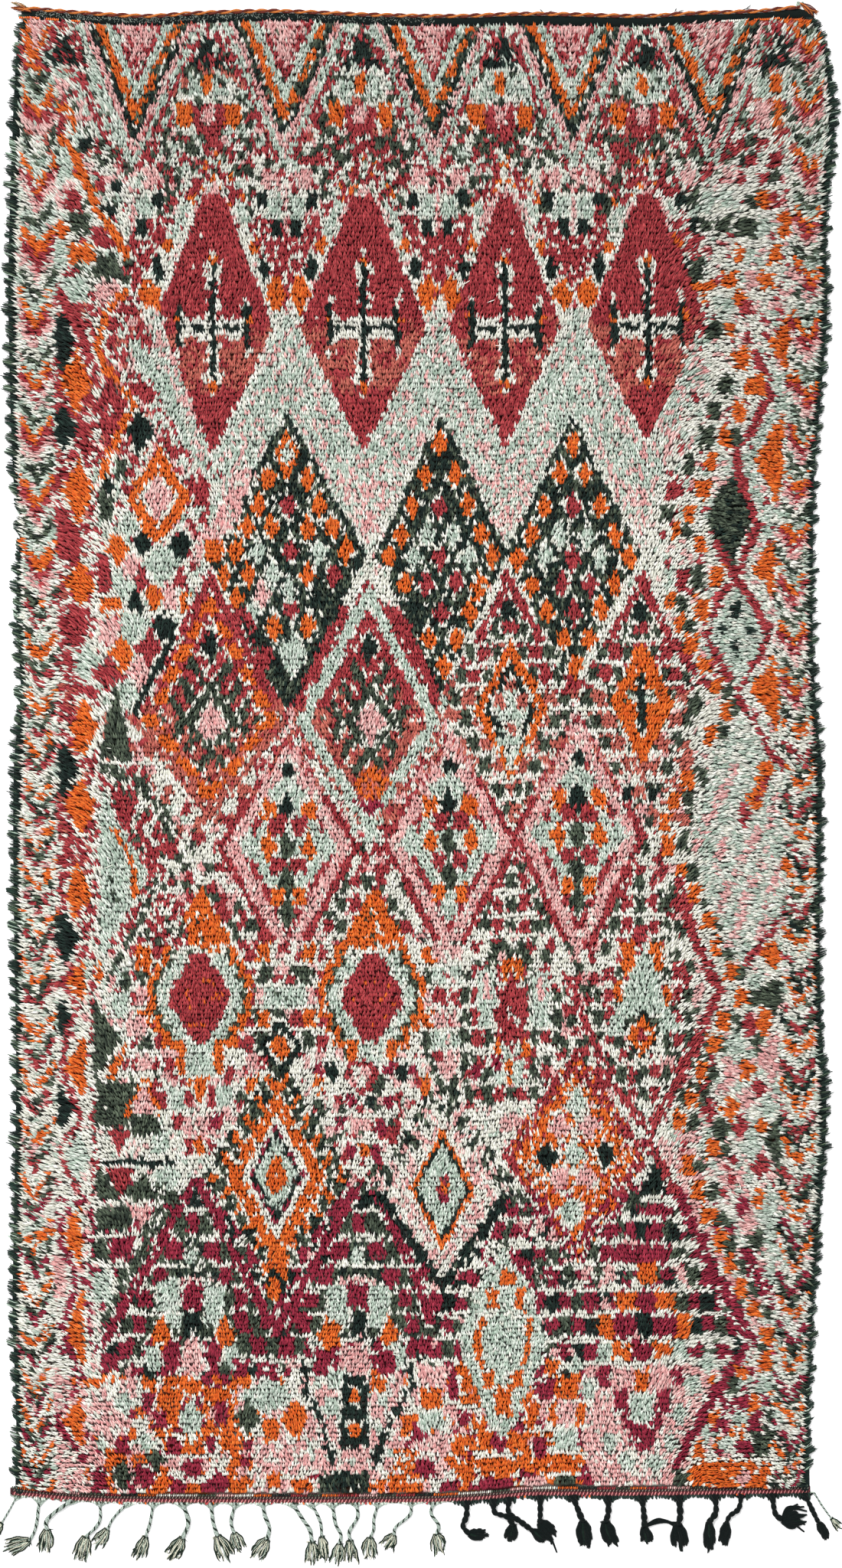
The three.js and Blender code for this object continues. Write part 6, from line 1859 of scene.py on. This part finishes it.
def make_fringe(name, node, cords, ends, finishes, slot, style, locks):
    """Looped warp ends along the rug's end, gathered into braided cords with tassels."""
    left, right = ends
    plies = style["plies"]
    runs = []
    x = np.linspace(left, right, max(int((right - left) / FOOT_STEP), 3))
    line = bottom_line(x) - FOOT_BELOW + 0.0007 * sway(x, x * 0, 0.02, 61)
    path = spread(points_at(x, line, 2 * FOOT_RADIUS), 0.0028)
    for k, ply in enumerate(twisted(path, 0.0009, 2, 0.011)):
        runs.append((ply, FOOT_RADIUS, plies[0] * k))
    for points, root, tip, wide, fan, strays in cords:
        top = bottom_line(root) - CORD_BELOW if name != "corner_cord_yarns" else CORNER_CORD_TOP
        start = (root, top)
        radius = wide * style["radius"]
        path = spread([(*p, radius * 2) for p in (start, *points)], 0.0016)
        part = np.linspace(0, 1, len(path))
        uneven = 1 + 0.12 * np.sin(part * 9 + root * 40) + 0.35 * (1 - np.minimum(part * 5, 1)) ** 2
        for k, ply in zip(plies, twisted(path, radius * 0.72, len(plies), wide * style["pitch"])):
            girth = radius * uneven * style["girths"][k]
            ply[:, 2] = np.maximum(ply[:, 2], girth)
            runs.append((ply, girth, k))
        runs += tassel_runs(points[-1], tip, fan * style["breadth"], locks, strays, style)
        if name == "corner_cord_yarns":
            continue
        for leg in np.linspace(-1, 1, WARPS_PER_CORD):
            foot = root + leg * (0.012 + wide * 0.7)
            foot_y = bottom_line(foot) - CORD_BELOW
            first = np.array(points[0]) * 0.42 + np.array(start) * 0.58
            bend = (root + leg * wide * 0.5, (foot_y + first[1]) / 2 - 0.001, 0.003)
            web = spread([(foot, foot_y, 0.0026), bend, (*first, radius * 2)], 0.004)
            width = np.linspace(style["warp"], style["warp"] * 0.8, len(web))
            runs.append((web, width, style["warps"][int(leg * 3 % 2 >= 1)]))
    piece = yarns(name, runs, finishes, slot, style["sides"])
    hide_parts(node)
    return piece


def make_root_loops(bead_finish):
    """Small loops of warp under the band, grey at the left and black at the right, with bright bits."""
    x = np.arange(*WARP_LOOPS, 0.0046)
    x = x + rng.normal(0, 0.0008, len(x))
    count = len(x)
    line = bottom_line(x)
    feet = np.array([cord[1] for cord in GREY_CORDS + BLACK_CORDS])
    near = np.min(np.abs(x[:, None] - feet[None]), axis=1)
    flare = np.exp(-((near / 0.017) ** 2))
    grey = x < GREY_TO_BLACK
    low = np.where(grey, 0.0066 + 0.0060 * flare, 0.0122 + 0.0100 * flare) + rng.normal(0, 0.0008, count)
    yarn = np.where(grey, SAGE, BLACK)
    yarn = np.where(grey & (rng.random(count) < 0.4), CHARCOAL, yarn)
    bright = (np.sin(x * 37.0) + np.sin(x * 91.0) > 1.2) & (rng.random(count) < 0.55)
    yarn = np.where(bright, np.where(rng.random(count) < 0.6, CRIMSON, ORANGE), yarn)
    low = np.where(bright, np.minimum(low + 0.002, 0.0105), low)
    roots = points_at(x, line - 0.0035, 0.0035)
    tips = points_at(x + 0.002 * rng.normal(0, 1, count), line - low, 0.0022)
    wide = 0.0054 * rng.normal(1, 0.12, count)
    return plant("warp_loops", strand_shape(4, 3, 0.6), roots, tips, wide, 0.0034, strands_of(yarn),
        bead_finish, arch=0.0008)


def make_loose_ends(bead_finish):
    """A few light tufts that stand away from the pile, and dark bits above the top edge."""
    count = 46
    x = rng.uniform(-0.8, 0.8, count)
    y = rng.uniform(-1.5, 1.6, count)
    turn = rng.uniform(-math.pi, math.pi, count)
    roots = points_at(x, y, 0.012)
    length = rng.uniform(0.012, 0.026, count)
    tips = roots + points_at(length * np.sin(turn), length * np.cos(turn), rng.uniform(0.003, 0.008, count))
    x, y, dx, dy = np.array(TOP_BITS).T
    roots = np.vstack([roots, points_at(x, y, 0.003)])
    tips = np.vstack([tips, points_at(x + dx, y + dy, 0.002)])
    yarn = np.array([IVORY] * count + [BLACK] * len(TOP_BITS))
    return plant("loose_tufts", strand_shape(3, 3, 0.3), roots, tips, 0.0026, 0.0024, strands_of(yarn),
        bead_finish, arch=0.002)


def build_rug():
    """All the pieces: pile and cloth, selvedges, the two ends, the fringe and loose ends."""
    wool = yarn_finish("wool_pile", 1.0)
    backs = yarn_finish("knot_backs", 0.8, 0.35)
    hair = yarn_finish("dark_hair_yarn", 1.0)
    thread = yarn_finish("coloured_thread", 1.0)
    dark = plain_finish("dark_band_weave", (0.01, 0.035, 0.033), (0.055, 0.105, 0.095), 900,
        (260.0, "X", 2.0))
    core = plain_finish("selvedge_core", (0.02, 0.05, 0.05), (0.08, 0.14, 0.13), 700, (150.0, "Y", 3.0))
    madder = plain_finish("madder_weave", (0.12, 0.06, 0.07), (0.34, 0.15, 0.17), 800, (240.0, "X", 1.0))
    orange = plain_finish("orange_cord", (0.50, 0.26, 0.12), (0.80, 0.48, 0.24), 900)
    brown = plain_finish("brown_cord", (0.20, 0.08, 0.07), (0.46, 0.20, 0.15), 900)
    olive = plain_finish("olive_yarn", (0.26, 0.27, 0.14), (0.50, 0.48, 0.30), 900)
    sage = plain_finish("sage_warp", (0.34, 0.41, 0.36), (0.74, 0.79, 0.73), 650)
    braid = plain_finish("grey_braid", (0.26, 0.32, 0.29), (0.74, 0.79, 0.75), 650)
    taupe = plain_finish("taupe_warp", (0.48, 0.49, 0.42), (0.92, 0.91, 0.83), 650)
    # Dark green strands that paint the shadow under the grey locks and between the plies of the grey cords
    shadow_green = plain_finish("shadow_green_yarn", (0.02, 0.06, 0.04), (0.13, 0.19, 0.14), 650)
    black = plain_finish("black_warp", (0.005, 0.02, 0.02), (0.035, 0.075, 0.07), 650)
    deep = plain_finish("deep_green_warp", (0.012, 0.045, 0.035), (0.07, 0.15, 0.11), 650)
    strips, knots = make_pile(wool)
    cloth = make_cloth(knots, backs)
    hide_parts("pile_field")
    parts = strips + make_selvedge("left", core, hair) + make_selvedge("right", core, hair)
    parts += make_top_end(dark, [orange, brown, olive, sage], thread)
    parts += make_bottom_end(madder, thread)
    parts.append(make_root_loops(thread))
    greys = [sage, taupe, braid, shadow_green]
    fringes = (
        ("grey_fringe_yarns", "fringe_grey", GREY_CORDS, (-0.905, 0.068), greys, "grey_fringe",
         GREY_STYLE, 9),
        ("black_fringe_yarns", "fringe_black", BLACK_CORDS, (0.076, 0.862), [black, deep], "black_fringe",
         BLACK_STYLE, 8),
        ("corner_cord_yarns", "corner_cord", (CORNER_CORD,), (0.866, 0.876), greys, "grey_fringe",
         GREY_STYLE, 5),
    )
    parts += [make_fringe(*fringe) for fringe in fringes]
    parts.append(make_loose_ends(thread))


set_up_view()
build_rug()
